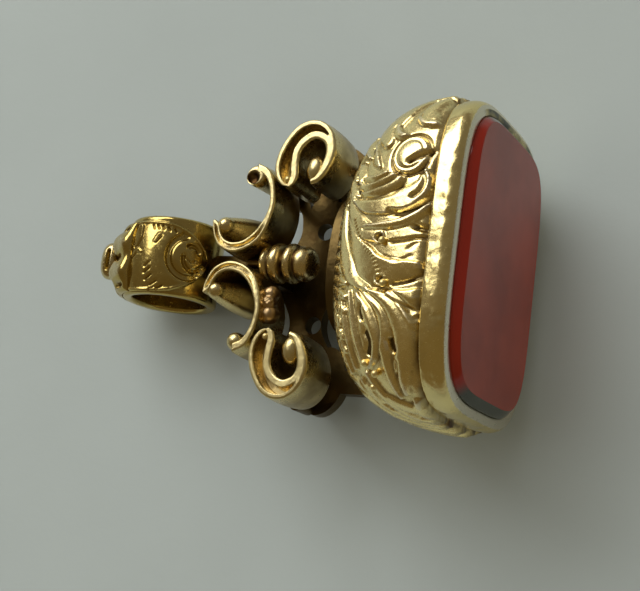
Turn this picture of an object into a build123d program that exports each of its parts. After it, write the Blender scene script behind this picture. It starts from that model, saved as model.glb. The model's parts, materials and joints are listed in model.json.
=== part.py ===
from build123d import *
import math
import os

# Pocket watch fob: a cushion-shaped seal stone in a gilt setting, under an openwork scroll frame and a loop.
# It lies on its side, as it does when it is put down: on the dome's long side and on the loop.
# While it is built, X runs from the loop to the stone, Y along the setting's long side and Z to the front,
# with the bezel's rim at X = 0. A rise is a distance from that rim towards the loop.

# Setting
BASE_LENGTH = 25.0
BASE_DEPTH = 19.0
BASE_POWER = 3.8
BEZEL_HEIGHT = 2.6
RIM_INSET = 0.62
RIM_WIDTH = 0.35
SEAM_INSET = 0.25
BEZEL_SHARES = ((0.0, 1.0), (0.2, 0.32), (0.5, 0.0), (0.8, 0.1))
LEDGE_WIDTH = 0.9
LEDGE_HEIGHT = 1.0

# Stone
STONE_GAP = 0.05
STONE_PROUD = 0.75
STONE_BEVEL = 0.7

# Dome and crown: the dome stands proud of the bezel along its long side and steps in across its depth
DOME_PROUD = 0.4
DOME_STEP = 0.1
DOME_HEIGHT = 10.0
DOME_ROUND = 2.42
DOME_TOP_POWER = 2.4
DOME_WALL = 0.55
DOME_TUCK = 0.4
DOME_SHARES = (0.1, 0.22, 0.36, 0.5, 0.62, 0.73, 0.82, 0.89, 0.94)
CROWN_THICK = 0.4
CROWN_RIM_WIDTH = 0.55
CROWN_RIM_HEIGHT = 0.75

# Scroll frame: a deep front layer of four scrolls, a gap with spacers, and a flat back plate
FRONT_FACE = 3.5
SCROLL_DEPTH = 4.7
LAYER_GAP = 2.3
PLATE_THICK = 1.2
FLUTE_DEPTH = 0.55

# Large C-scrolls, one above and one below the axis
C_RISE = 16.45
C_SIDE = 8.88
C_WIDTH = 5.5
C_HEIGHT = 5.84
C_SHARES = (
    (0.26, -0.88), (0.57, -1.0), (0.87, -0.78), (1.0, -0.34), (0.89, 0.18), (0.58, 0.66), (0.19, 0.93),
    (-0.17, 1.0), (-0.57, 0.83), (-0.87, 0.45), (-1.0, -0.03), (-0.92, -0.54), (-0.68, -0.9), (-0.42, -1.0),
    (-0.15, -0.87), (-0.08, -0.61), (-0.19, -0.35), (-0.42, -0.27), (-0.58, -0.13), (-0.72, 0.14),
    (-0.68, 0.42), (-0.45, 0.64), (-0.19, 0.67), (0.04, 0.52), (0.21, 0.21), (0.26, -0.16), (0.23, -0.58),
)
C_OUTER_COUNT = 16
C_FLUTE_SHARES = (
    (0.5, -0.84), (0.8, -0.68), (0.89, -0.32), (0.78, 0.15), (0.5, 0.57), (0.15, 0.82), (-0.12, 0.88),
    (-0.1, 0.78), (0.14, 0.66), (0.33, 0.26), (0.4, -0.15), (0.36, -0.55), (0.38, -0.78),
)
C_EYE_SHARE = (-0.22, 0.1)
C_EYE_RADIUS = 0.8
C_BEAD_SHARE = (-0.43, -0.62)
C_BEAD_RADIUS = 0.68

# Smaller S-scrolls between the C-scrolls and the loop
S_RISE = 21.6
S_SIDE = 4.25
S_WIDTH = 5.7
S_HEIGHT = 7.7
S_SHARES = (
    (1.0, -0.35), (0.89, -0.66), (0.61, -0.9), (0.19, -1.0), (-0.26, -0.92), (-0.65, -0.71), (-0.89, -0.38),
    (-1.0, -0.01), (-0.95, 0.38), (-0.79, 0.71), (-0.54, 0.95), (-0.28, 1.0), (-0.05, 0.9), (0.02, 0.71),
    (-0.12, 0.55), (-0.37, 0.53), (-0.58, 0.43), (-0.68, 0.19), (-0.7, -0.04), (-0.58, -0.32), (-0.37, -0.56),
    (-0.09, -0.73), (0.23, -0.79), (0.51, -0.73), (0.68, -0.56), (0.74, -0.35), (0.86, -0.27),
)
S_BEAD_SHARE = (-0.3, 0.76)
S_BEAD_RADIUS = 0.6
VOLUTE_SHARE = (0.22, -0.37)
VOLUTE_RADIUS = 1.5
VOLUTE_TIP_SHARE = (0.66, -0.37)
VOLUTE_TIP_RADIUS = 0.75

# Lump of solder left by a repair on the lower S-scroll: its middle is a share of the scroll's width, height and
# depth, and its balls lie about it as shares of their own radius
LUMP_SHARE = (-1.12, -0.13)
LUMP_DEPTH_SHARE = 0.28
LUMP_RADIUS = 0.85
LUMP_SHARES = ((-0.1, 1.0, 0.0), (0.0, 0.0, 0.35), (0.0, -1.0, 0.0))

# Back plate: the scrolls' outlines, a web between them, a stem on the axis and a lug beyond each C-scroll
STEM_WIDTH = 2.9
WEB_CURVE_SHARES = ((-0.9, -2.6), (-0.2, -2.3), (0.05, -1.75), (-0.1, -1.25), (-0.5, -0.8))
WEB_SHARES = (
    (-0.5, -0.8), (0.3, -0.6), (0.9, -0.8), (1.06, -1.2), (1.1, -2.1), (1.4, -2.5), (1.85, -2.75),
    (1.85, -2.95), (-0.9, -2.95), (-0.9, -2.6),
)
WEB_EYE_SHARE = (0.32, -1.62)
WEB_EYE_RADIUS = 0.75
LUG_WIDTH = 2.0

# Spacers and the neck that holds the loop
SPACER_RADIUS = 0.6
C_SPACER_SHARES = ((0.62, -0.1), (0.1, 0.82))
S_SPACER_SHARE = (-0.42, 0.72)
NECK_WIDTH = 2.6
NECK_START = 19.7

# Ribbed bud on the axis, in the front layer: places along it and radii as shares of its length and radius
BUD_RISE = 15.3
BUD_LENGTH = 4.9
BUD_RADIUS = 1.72
BUD_SHARES = (
    (0.0, 0.0), (0.03, 0.42), (0.14, 0.8), (0.27, 0.97), (0.33, 0.9), (0.42, 1.0), (0.5, 0.96), (0.55, 0.74),
    (0.6, 0.76), (0.66, 1.0), (0.78, 1.0), (0.83, 0.78), (0.87, 0.76), (0.93, 0.78), (1.0, 0.55), (1.0, 0.0),
)
PIN_RADIUS = 0.45
PIN_OVERHANG = 0.9


# Loop with its chased shields and crest, which are turned about its bore by an angle in degrees
LOOP_RISE = 29.9
LOOP_RADIUS = 4.1
LOOP_WALL = 0.9
LOOP_WIDTH = 6.9
LOOP_LEAN = 22.0
SHIELD_THICK = 0.42
SHIELD_LENGTH = 6.6
SHIELD_WIDE = 5.9
SHIELD_NARROW = 3.9
CREST_WIDTH = 5.2
CREST_HEIGHT = 4.6
CREST_LENGTH = 1.5
KNOB_WIDTH = 3.3
KNOB_RADIUS = 0.95
KNOB_SLOT = 0.4
KNOB_SLOT_DEPTH = 0.8

OUTLINE_STEPS = 32
TURN_STEPS = 40
OVERRUN = 1.0

# Places worked out from the sizes above
HALF_LENGTH = BASE_LENGTH / 2
HALF_DEPTH = BASE_DEPTH / 2
DOME_HALF_LENGTH = HALF_LENGTH + DOME_PROUD
DOME_HALF_DEPTH = HALF_DEPTH - DOME_STEP
BORE_INSET = RIM_INSET + RIM_WIDTH
SEAT_RISE = BEZEL_HEIGHT - LEDGE_HEIGHT
CROWN_RISE = BEZEL_HEIGHT + DOME_HEIGHT * DOME_SHARES[-1]
FRONT_BACK = FRONT_FACE - SCROLL_DEPTH
PLATE_FRONT = FRONT_BACK - LAYER_GAP
PLATE_BACK = PLATE_FRONT - PLATE_THICK
BUD_DEPTH = (FRONT_FACE + FRONT_BACK) / 2
SIDES = {"upper": 1, "lower": -1}


def cushion(half_length, half_depth, power, rise):
    """A closed cushion outline across the axis, at one rise."""
    points = []
    for step in range(OUTLINE_STEPS):
        turn = 2 * math.pi * step / OUTLINE_STEPS
        across = math.cos(turn)
        up = math.sin(turn)
        reach = (abs(across) ** power + abs(up) ** power) ** (-1 / power)
        points.append((-rise, half_length * reach * across, half_depth * reach * up))
    return make_face(Spline(*points, periodic=True))


def base_block(inset, start, end, end_inset=None):
    """A block with the setting's outline, set in by an amount at each end."""
    if end_inset is None:
        end_inset = inset
    first = cushion(HALF_LENGTH - inset, HALF_DEPTH - inset, BASE_POWER, start)
    last = cushion(HALF_LENGTH - end_inset, HALF_DEPTH - end_inset, BASE_POWER, end)
    return loft([first, last])


def bezel_collet():
    """The smooth bulging band that grips the stone."""
    sections = []
    for rise_share, inset_share in BEZEL_SHARES:
        inset = RIM_INSET * inset_share
        rise = BEZEL_HEIGHT * rise_share
        sections.append(cushion(HALF_LENGTH - inset, HALF_DEPTH - inset, BASE_POWER, rise))
    sections.append(cushion(HALF_LENGTH - SEAM_INSET, HALF_DEPTH - SEAM_INSET, BASE_POWER, BEZEL_HEIGHT))
    return loft(sections) - base_block(BORE_INSET, -OVERRUN, BEZEL_HEIGHT + OVERRUN)


def stone_seat():
    """The bearing ledge inside the bezel that the stone rests on."""
    ring = base_block(BORE_INSET, SEAT_RISE, BEZEL_HEIGHT)
    return ring - base_block(BORE_INSET + LEDGE_WIDTH, SEAT_RISE - OVERRUN, BEZEL_HEIGHT + OVERRUN)


def seal_stone():
    """The plain stone: a straight girdle with a bevel round its flat face."""
    inset = BORE_INSET + STONE_GAP
    bevel_start = STONE_BEVEL - STONE_PROUD
    girdle = base_block(inset, bevel_start, SEAT_RISE)
    bevel = base_block(inset + STONE_BEVEL, -STONE_PROUD, bevel_start, inset)
    return girdle + bevel


def dome_block(inset):
    """The dome's full shape, set in by an amount, from the seam to the crown."""
    half_length = DOME_HALF_LENGTH - inset
    half_depth = DOME_HALF_DEPTH - inset
    sections = [cushion(half_length - DOME_TUCK, half_depth - DOME_TUCK, BASE_POWER, BEZEL_HEIGHT)]
    for share in DOME_SHARES:
        size = (1 - share ** DOME_ROUND) ** (1 / DOME_ROUND)
        power = BASE_POWER + (DOME_TOP_POWER - BASE_POWER) * share
        rise = BEZEL_HEIGHT + DOME_HEIGHT * share
        sections.append(cushion(half_length * size, half_depth * size, power, rise))
    return loft(sections)


def crown_block(inset, start, end):
    """A straight block with the outline that the dome has where it is cut off for the crown."""
    size = (1 - DOME_SHARES[-1] ** DOME_ROUND) ** (1 / DOME_ROUND)
    half_length = DOME_HALF_LENGTH * size
    half_depth = DOME_HALF_DEPTH * size
    first = cushion(half_length - inset, half_depth - inset, DOME_TOP_POWER, start)
    last = cushion(half_length - inset, half_depth - inset, DOME_TOP_POWER, end)
    return loft([first, last])


def seal_dome():
    """The chased shell between the bezel and the crown."""
    return dome_block(0) - dome_block(DOME_WALL)


def setting_cement():
    """The filling that backs the stone and stiffens the thin shell."""
    plug = base_block(BORE_INSET + LEDGE_WIDTH, SEAT_RISE, BEZEL_HEIGHT)
    return plug + dome_block(DOME_WALL)


def crown_plate():
    """The flat plate that closes the dome and carries the frame."""
    return crown_block(CROWN_RIM_WIDTH, CROWN_RISE, CROWN_RISE + CROWN_THICK)


def crown_rim():
    """The raised border round the crown plate."""
    outer = crown_block(0, CROWN_RISE, CROWN_RISE + CROWN_RIM_HEIGHT)
    return outer - crown_block(CROWN_RIM_WIDTH, CROWN_RISE - OVERRUN, CROWN_RISE + CROWN_RIM_HEIGHT + OVERRUN)


def place(rise, side, width, height, share):
    """A point of the frame, from a share of a scroll's width and height."""
    return (-(rise + width / 2 * share[0]), side + height / 2 * share[1])


def slab(face, back, front):
    """A flat outline made solid between two depths."""
    return Pos(0, 0, back) * extrude(face, front - back)


def c_place(sign, share):
    across, up = place(C_RISE, C_SIDE, C_WIDTH, C_HEIGHT, share)
    return across, sign * up


def s_place(sign, share):
    across, up = place(S_RISE, S_SIDE, S_WIDTH, S_HEIGHT, share)
    return across, sign * up


def bead_hole(spot, radius):
    """The hole that a bead's shank fills, right through the front layer."""
    return Pos(spot[0], spot[1], FRONT_BACK - OVERRUN) * extrude(Circle(radius), SCROLL_DEPTH + 2 * OVERRUN)


def c_outline(sign, shares):
    """A smooth closed outline in a C-scroll's place."""
    return make_face(Spline(*[c_place(sign, share) for share in shares], periodic=True))


def s_outline(sign):
    """The smooth closed outline of an S-scroll."""
    return make_face(Spline(*[s_place(sign, share) for share in S_SHARES], periodic=True))


def c_scroll(sign):
    """A C-scroll with a fluted front face."""
    flute = slab(c_outline(sign, C_FLUTE_SHARES), FRONT_FACE - FLUTE_DEPTH, FRONT_FACE + OVERRUN)
    body = slab(c_outline(sign, C_SHARES), FRONT_BACK, FRONT_FACE) - flute
    return body - bead_hole(c_place(sign, C_BEAD_SHARE), C_BEAD_RADIUS)


def s_scroll(sign):
    """An S-scroll, cut where it meets the C-scroll beside it."""
    body = slab(s_outline(sign), FRONT_BACK, FRONT_FACE) - bead_hole(s_place(sign, S_BEAD_SHARE), S_BEAD_RADIUS)
    return body - slab(c_outline(sign, C_SHARES), FRONT_BACK - OVERRUN, FRONT_FACE + OVERRUN)


def bead(spot, radius):
    """A round-headed bead on a shank that runs through the scroll."""
    shank = Pos(spot[0], spot[1], FRONT_BACK) * extrude(Circle(radius), SCROLL_DEPTH - radius)
    head = Pos(spot[0], spot[1], FRONT_FACE - radius) * Sphere(radius)
    return shank + head


def volute_boss(sign):
    """The leaning boss inside an S-scroll's volute, broad at its back and round at its tip."""
    foot = Pos(*s_place(sign, VOLUTE_SHARE), FRONT_BACK) * Circle(VOLUTE_RADIUS)
    tip = Pos(*s_place(sign, VOLUTE_TIP_SHARE), FRONT_FACE - VOLUTE_TIP_RADIUS)
    boss = loft([foot, tip * Circle(VOLUTE_TIP_RADIUS)]) + tip * Sphere(VOLUTE_TIP_RADIUS)
    return boss - slab(s_outline(sign), FRONT_BACK - OVERRUN, FRONT_FACE + OVERRUN)


def plate_hole(spot, radius):
    """A round hole through the back plate."""
    return Pos(spot[0], spot[1], PLATE_BACK - OVERRUN) * extrude(Circle(radius), PLATE_THICK + 2 * OVERRUN)


def back_plate(dome):
    """The flat openwork plate behind the scrolls, with its stem and lugs shaped to the dome."""
    stem_length = NECK_START - BEZEL_HEIGHT
    stem = Pos(-(NECK_START - stem_length / 2), 0) * Rectangle(stem_length, STEM_WIDTH)
    body = slab(stem, PLATE_BACK, PLATE_FRONT)
    lug_length = C_RISE - BEZEL_HEIGHT
    for sign in SIDES.values():
        curve = Spline(*[c_place(sign, share) for share in WEB_CURVE_SHARES])
        web = make_face(curve + Polyline(*[c_place(sign, share) for share in WEB_SHARES]))
        lug = Pos(-(C_RISE - lug_length / 2), sign * C_SIDE) * Rectangle(lug_length, LUG_WIDTH)
        body += slab(web, PLATE_BACK, PLATE_FRONT)
        body += slab(lug, PLATE_BACK, PLATE_FRONT)
        body += slab(c_outline(sign, C_SHARES[:C_OUTER_COUNT]), PLATE_BACK, PLATE_FRONT)
        body += slab(s_outline(sign), PLATE_BACK, PLATE_FRONT)
        body -= plate_hole(c_place(sign, C_EYE_SHARE), C_EYE_RADIUS)
        body -= plate_hole(c_place(sign, WEB_EYE_SHARE), WEB_EYE_RADIUS)
    return body - dome - crown_block(0, CROWN_RISE, CROWN_RISE + CROWN_RIM_HEIGHT)


def solder_lump():
    """The lump of solder beside the lower S-scroll."""
    middle = Pos(*s_place(SIDES["lower"], LUMP_SHARE), FRONT_FACE - SCROLL_DEPTH * LUMP_DEPTH_SHARE)
    lump = None
    for across, up, out in LUMP_SHARES:
        ball = middle * Pos(LUMP_RADIUS * across, LUMP_RADIUS * up, LUMP_RADIUS * out) * Sphere(LUMP_RADIUS)
        lump = ball if lump is None else lump + ball
    return lump - slab(s_outline(SIDES["lower"]), FRONT_BACK - OVERRUN, FRONT_FACE + OVERRUN)


def spacers():
    """The short posts between the front scrolls and the back plate."""
    posts = []
    for sign in SIDES.values():
        spots = [c_place(sign, share) for share in C_SPACER_SHARES]
        spots.append(s_place(sign, S_SPACER_SHARE))
        for spot in spots:
            posts.append(Pos(spot[0], spot[1], PLATE_FRONT) * extrude(Circle(SPACER_RADIUS), LAYER_GAP))
    return Compound(posts)


def loop_blank(radius, width):
    """A round bar across the loop's place, along the setting's long side."""
    return Pos(-LOOP_RISE, 0, 0) * Rot(90, 0, 0) * Cylinder(radius, width)


def leaned(piece):
    """A piece of the loop turned about the loop's axis, so that its crest leans to the front."""
    return Pos(-LOOP_RISE, 0, 0) * Rot(0, LOOP_LEAN, 0) * Pos(LOOP_RISE, 0, 0) * piece


def neck():
    """The bar behind the S-scrolls that carries the loop."""
    length = LOOP_RISE - NECK_START
    middle = (PLATE_FRONT + FRONT_BACK) / 2
    bar = Pos(-(NECK_START + length / 2), 0, middle) * Box(length, NECK_WIDTH, LAYER_GAP)
    return bar - loop_blank(LOOP_RADIUS, LOOP_WIDTH) - leaned(shield(False))


def ribbed_bud():
    """The turned bud in the middle of the frame, bored for its pin."""
    points = [(-(BUD_RISE + BUD_LENGTH * along), BUD_RADIUS * out) for along, out in BUD_SHARES]
    blank = revolve(make_face(Polyline(*points, close=True)), Axis.X)
    start = BUD_RISE + BUD_LENGTH / 2
    hole_length = BUD_LENGTH + 2 * OVERRUN
    hole = Pos(-start - hole_length / 2, 0, 0) * Rot(0, 90, 0) * Cylinder(PIN_RADIUS, hole_length)
    return Pos(0, 0, BUD_DEPTH) * (blank - hole)


def bud_pin():
    """The pin on which the bud sits, held between the S-scrolls."""
    start = BUD_RISE + BUD_LENGTH / 2
    length = BUD_LENGTH / 2 + OVERRUN / 2 + PIN_OVERHANG
    return Pos(-(start + length / 2), 0, BUD_DEPTH) * Rot(0, 90, 0) * Cylinder(PIN_RADIUS, length)


def suspension_loop():
    """The broad smooth band that the watch chain passes through."""
    return loop_blank(LOOP_RADIUS, LOOP_WIDTH) - loop_blank(LOOP_RADIUS - LOOP_WALL, LOOP_WIDTH + 2 * OVERRUN)


def shield(front):
    """A tapering chased shield, bent round the front or the back of the loop."""
    skin = loop_blank(LOOP_RADIUS + SHIELD_THICK, LOOP_WIDTH) - loop_blank(LOOP_RADIUS, LOOP_WIDTH + OVERRUN)
    far = -(LOOP_RISE + SHIELD_LENGTH / 2)
    near = -(LOOP_RISE - SHIELD_LENGTH / 2)
    corners = ((far, SHIELD_WIDE / 2), (near, SHIELD_NARROW / 2), (near, -SHIELD_NARROW / 2), (far, -SHIELD_WIDE / 2))
    face = make_face(Polyline(*corners, close=True))
    height = LOOP_RADIUS + SHIELD_THICK + OVERRUN
    if front:
        cutter = slab(face, 0, height)
    else:
        cutter = slab(face, -height, 0)
    return skin & cutter


def crest():
    """The leafy cap at the loop's outer end, hollowed to sit on the loop."""
    far = LOOP_RISE + LOOP_RADIUS + CREST_LENGTH
    near = LOOP_RISE + SHIELD_LENGTH / 2
    length = far - near
    cap = Pos(-(near + length / 2), 0, 0) * Box(length, CREST_WIDTH, CREST_HEIGHT)
    cap = fillet(cap.edges().filter_by(Axis.X), CREST_HEIGHT / 4)
    return cap - loop_blank(LOOP_RADIUS, LOOP_WIDTH) - shield(True) - shield(False)


def crest_knob():
    """The small slotted roll on the tip of the crest."""
    rise = LOOP_RISE + LOOP_RADIUS + CREST_LENGTH
    roll = Pos(-rise, 0, 0) * Rot(90, 0, 0) * Cylinder(KNOB_RADIUS, KNOB_WIDTH)
    slot_length = KNOB_WIDTH / 2
    slot = Pos(-(rise + KNOB_RADIUS), 0, 0) * Box(2 * KNOB_SLOT_DEPTH, slot_length, KNOB_SLOT)
    return roll - slot - crest()


def dome_dip(turn):
    """How far the dome reaches below the axis when the fob is turned, measured from the rim's middle."""
    dual = DOME_ROUND / (DOME_ROUND - 1)
    along = DOME_HEIGHT * math.sin(turn)
    across = DOME_HALF_DEPTH * math.cos(turn)
    return BEZEL_HEIGHT * math.sin(turn) + (along ** dual + across ** dual) ** (1 / dual)


def loop_dip(turn):
    """How far the shield behind the loop reaches below the same level."""
    return LOOP_RISE * math.sin(turn) + LOOP_RADIUS + SHIELD_THICK


def rest_turn():
    """The angle at which the dome and the loop touch the ground together."""
    low = 0.0
    high = math.pi / 4
    for _ in range(TURN_STEPS):
        middle = (low + high) / 2
        if loop_dip(middle) < dome_dip(middle):
            low = middle
        else:
            high = middle
    return low


def all_pieces():
    """Every piece by its node's name, still in the frame that it is built in."""
    dome = dome_block(0)
    pieces = {
        "bezel_collet": bezel_collet(),
        "stone_seat_ledge": stone_seat(),
        "seal_stone": seal_stone(),
        "seal_dome": seal_dome(),
        "setting_cement": setting_cement(),
        "crown_plate": crown_plate(),
        "crown_rim": crown_rim(),
        "back_plate": back_plate(dome),
        "spacer_posts": spacers(),
        "loop_neck": neck(),
        "solder_lump": solder_lump(),
        "ribbed_bud": ribbed_bud(),
        "bud_pin": bud_pin(),
        "suspension_loop": suspension_loop(),
        "front_shield": leaned(shield(True)),
        "rear_shield": leaned(shield(False)),
        "loop_crest": leaned(crest()),
        "crest_knob": leaned(crest_knob()),
    }
    for side, sign in SIDES.items():
        pieces[side + "_c_scroll"] = c_scroll(sign)
        pieces[side + "_c_bead"] = bead(c_place(sign, C_BEAD_SHARE), C_BEAD_RADIUS)
        pieces[side + "_s_scroll"] = s_scroll(sign)
        pieces[side + "_s_bead"] = bead(s_place(sign, S_BEAD_SHARE), S_BEAD_RADIUS)
        pieces[side + "_volute_boss"] = volute_boss(sign)
    return pieces


def main():
    os.makedirs("parts", exist_ok=True)
    angle = rest_turn()
    turn = Rot(0, -math.degrees(angle), 0)
    laid = {name: turn * piece for name, piece in all_pieces().items()}
    box = Compound(list(laid.values())).bounding_box()
    shift = -(box.min.X + box.max.X) / 2
    lift = loop_dip(angle)
    for name, piece in laid.items():
        export_step(Pos(shift, 0, lift) * piece, "parts/" + name + ".step")
    print("turn", math.degrees(angle), "shift", shift, "lift", lift)
    print("lowest", box.min.Z + lift, "size", box.size)


main()
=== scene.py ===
import json
import math

import bmesh
import bpy
import numpy as np
from bpy.props import FloatProperty, FloatVectorProperty, IntProperty, PointerProperty
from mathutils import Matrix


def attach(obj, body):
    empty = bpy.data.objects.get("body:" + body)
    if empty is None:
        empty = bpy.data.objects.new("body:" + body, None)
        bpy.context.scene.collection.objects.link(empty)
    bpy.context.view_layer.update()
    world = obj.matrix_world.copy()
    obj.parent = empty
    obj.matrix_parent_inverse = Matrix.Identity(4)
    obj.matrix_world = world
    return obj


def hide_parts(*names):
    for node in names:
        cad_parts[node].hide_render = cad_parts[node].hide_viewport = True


bl_info = {
    "name": "Pocket Watch Fob",
    "version": (1, 0, 0),
    "blender": (4, 5, 0),
    "location": "3D View > Sidebar > Fob",
    "description": "Dresses a gilt fob seal: stone, chased dome, scroll frame and suspension loop",
    "category": "Object",
}

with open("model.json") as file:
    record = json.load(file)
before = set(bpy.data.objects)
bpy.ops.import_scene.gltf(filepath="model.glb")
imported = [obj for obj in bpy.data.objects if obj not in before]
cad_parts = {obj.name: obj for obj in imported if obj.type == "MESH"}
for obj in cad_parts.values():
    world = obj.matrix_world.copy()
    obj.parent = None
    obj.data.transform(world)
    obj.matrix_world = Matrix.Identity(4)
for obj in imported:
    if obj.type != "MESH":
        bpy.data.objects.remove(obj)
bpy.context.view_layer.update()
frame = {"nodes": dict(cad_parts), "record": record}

# Where the fob lies, read from its mounts. In its own frame X runs from the loop to the stone, Y along the
# setting's long side and Z to the front, in millimetres, with the bezel's rim at X = 0. A rise is -X.
METRES = 0.001
SEAL_FACE = next(mount for mount in frame["record"]["mounts"] if mount["name"] == "seal_face")
SEAL_PROUD = 0.75
ALONG = np.array(SEAL_FACE["axis"])
ACROSS = np.array((0.0, 1.0, 0.0))
OUTWARD = np.cross(ALONG, ACROSS)
ORIGIN = np.array(SEAL_FACE["pos_m"]) / METRES - SEAL_PROUD * ALONG

# Setting. A power shapes a cushion outline: 2 is an ellipse, and more is squarer.
HALF_LENGTH = 12.5
HALF_DEPTH = 9.5
BASE_POWER = 3.8
BEZEL_HEIGHT = 2.6
LIP_INSET = 1.2
DOME_LENGTH = HALF_LENGTH + 0.4
DOME_DEPTH = HALF_DEPTH - 0.1
DOME_HEIGHT = 10.0
DOME_ROUND = 2.42
DOME_TOP_POWER = 2.4
DOME_END = 0.757
FOOT_DROP = 0.5
FACE_PROUD = 0.66
FACE_POWER = 4.8
END_GAP = 0.12
REAR_GAP = 0.55
# Where the painted shade at the setting's ends begins, as the cosine of an angle from the long side's ends
END_START = 0.77

# Scroll frame. A scroll's place is its middle's rise and side, then its width along X and its height along Y.
FRONT_FACE = 3.5
BACK_FACE = FRONT_FACE - 4.7
C_PLACE = (16.45, 8.88, 5.5, 5.84)
S_PLACE = (21.6, 4.25, 5.7, 7.7)

# Loop
LOOP_RISE = 29.9
LOOP_RADIUS = 4.1
LOOP_WALL = 0.9
LOOP_WIDTH = 6.9
LOOP_LEAN = math.radians(22)
SHIELD_RADIUS = LOOP_RADIUS + 0.42
SHIELD_SIDE = -0.2
UNDERSIDE = LOOP_RADIUS + 0.01
CREST_RADIUS = LOOP_RADIUS + 1.5
CREST_HALF_TURN = 44
CREST_HALF_SIDE = 3.1
CREST_TURN = LOOP_LEAN - math.pi / 2
KNOB_RADIUS = 0.95
KNOB_WIDTH = 3.3


def length(name, description, default):
    """A size in metres that a user can change."""
    return FloatProperty(name=name, description=description, default=default, unit="LENGTH")


def colour(name, description, default):
    """A colour that a user can change."""
    return FloatVectorProperty(name=name, description=description, default=default, size=3, subtype="COLOR",
                               min=0, max=1)


class FobSizes(bpy.types.PropertyGroup):
    stone_bevel: length("Stone bevel", "Width of the bevel round the stone's face", 0.0006)
    rim_round: length("Rim round", "Radius of the worn edges of the scrolls", 0.0002)
    flute_rim: length("Flute rim", "Width of the rim beside a C-scroll's flute", 0.00042)
    flute_depth: length("Flute depth", "Depth of the flute in a C-scroll", 0.0014)
    pin_radius: length("Pin radius", "Radius of the small bright pins in the eyelets", 0.0003)
    wall_bulge: length("Wall bulge", "How far a scroll's walls swell between front and back", 0.00012)
    chase_columns: IntProperty(
        name="Chasing columns", description="Faces round the chased dome", default=680, min=40)
    chase_rows: IntProperty(
        name="Chasing rows", description="Faces between the dome's seam and its crown", default=134, min=20)


class FobColours(bpy.types.PropertyGroup):
    gold: colour("Gold", "Clean gilding", (0.93, 0.76, 0.35))
    # Dark colour of grime and of painted shade: recesses, pits, grooves and deep walls darken towards it, and
    # it mottles the gilding at random
    grime_and_shade: colour("Grime and Shade", "Old dirt in the recesses", (0.10, 0.05, 0.018))
    worn: colour("Worn rim", "Metal where the gilding has rubbed off", (0.80, 0.72, 0.56))
    bezel: colour("Bezel gold", "Gilding of the smooth band", (0.86, 0.70, 0.31))
    silver: colour("Bare rim", "Pale metal of the bezel's bare inner edge", (0.70, 0.66, 0.54))
    # Painted shade at the ends of the bezel's lip; the same colour also mottles the band at random
    setting_mottle_and_shade: colour("Setting grime", "Dark ends of the bezel's lip", (0.06, 0.065, 0.045))
    scroll: colour("Scroll gold", "Duller gilding of the scroll frame", (0.72, 0.58, 0.28))
    scroll_worn: colour("Worn scroll", "Rubbed front of the scrolls", (0.68, 0.58, 0.29))
    # Painted shade: the bars behind the scrolls get a very dark bronze for the shade they lie in
    frame: colour("Frame bronze", "Tarnished bars behind the scrolls", (0.115, 0.078, 0.028))
    loop: colour("Loop gold", "Gilding of the loop and its shields", (0.54, 0.41, 0.13))
    stone: colour("Stone", "Carnelian", (0.25, 0.022, 0.006))
    stone_light: colour("Stone cloud", "Paler clouds in the carnelian", (0.42, 0.05, 0.022))
    # Painted glow of light coming through the stone's bevel
    stone_bevel_glow: colour("Stone bevel", "Carnelian where light comes through the bevel", (0.27, 0.018, 0.008))
    # Painted dark reflection at the stone's ends
    stone_end_reflection: colour("Stone end", "Dark setting showing at the stone's ends", (0.035, 0.04, 0.026))
    solder: colour("Solder", "Coppery solder", (0.50, 0.35, 0.18))
    table: colour("Table", "Paper that the fob lies on", (0.435, 0.495, 0.49))


class FobSettings(bpy.types.PropertyGroup):
    sizes: PointerProperty(type=FobSizes)
    colours: PointerProperty(type=FobColours)


def laid(points):
    """Points of the fob's own frame, in millimetres, put where the fob lies, in metres."""
    points = np.asarray(points, float)
    return (ORIGIN + points[:, :1] * ALONG + points[:, 1:2] * ACROSS + points[:, 2:3] * OUTWARD) * METRES


def spline(points, count, closed=False):
    """Evenly counted points along a smooth curve through the given ones."""
    points = np.asarray(points, float)
    if closed:
        padded = np.vstack([points[-1], points, points[:2]])
    else:
        padded = np.vstack([2 * points[0] - points[1], points, 2 * points[-1] - points[-2]])
    spans = len(padded) - 3
    place = np.linspace(0, spans, count, endpoint=not closed)
    index = np.minimum(place.astype(int), spans - 1)
    part = (place - index)[:, None]
    before, start, end, after = (padded[index + step] for step in range(4))
    linear = (end - before) * part
    square = (2 * before - 5 * start + 4 * end - after) * part ** 2
    cube = (3 * start - before - 3 * end + after) * part ** 3
    return 0.5 * (2 * start + linear + square + cube)


def smooth(value):
    """An S-shaped step from 0 to 1."""
    value = np.clip(value, 0, 1)
    return value * value * (3 - 2 * value)


def bell(value):
    """A smooth hump of height 1 round 0."""
    return np.exp(-value ** 2)


def angles(count):
    """Evenly spaced angles round a whole turn."""
    return np.linspace(0, 2 * math.pi, count, endpoint=False)


def triples(x, y, z):
    """Points from their three coordinates, which may be single numbers or grids."""
    return np.stack(np.broadcast_arrays(x, y, z), -1)


def skin(rings, wrap=False):
    """Points and faces over closed rings. Each end is closed by a point, or joined to the other by wrap."""
    rings = np.asarray(rings)
    count, around = rings.shape[:2]
    points = rings.reshape(-1, 3)
    index = np.arange(count * around).reshape(count, around)
    if wrap:
        index = np.vstack([index, index[:1]])
    turned = np.roll(index, -1, axis=1)
    faces = np.stack([index[:-1], turned[:-1], turned[1:], index[1:]], -1).reshape(-1, 4).tolist()
    if not wrap:
        points = np.vstack([points, rings[0].mean(0), rings[-1].mean(0)])
        total = count * around
        faces += triples(total, turned[0], index[0]).tolist()
        faces += triples(total + 1, index[-1], turned[-1]).tolist()
    return points, faces


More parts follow.
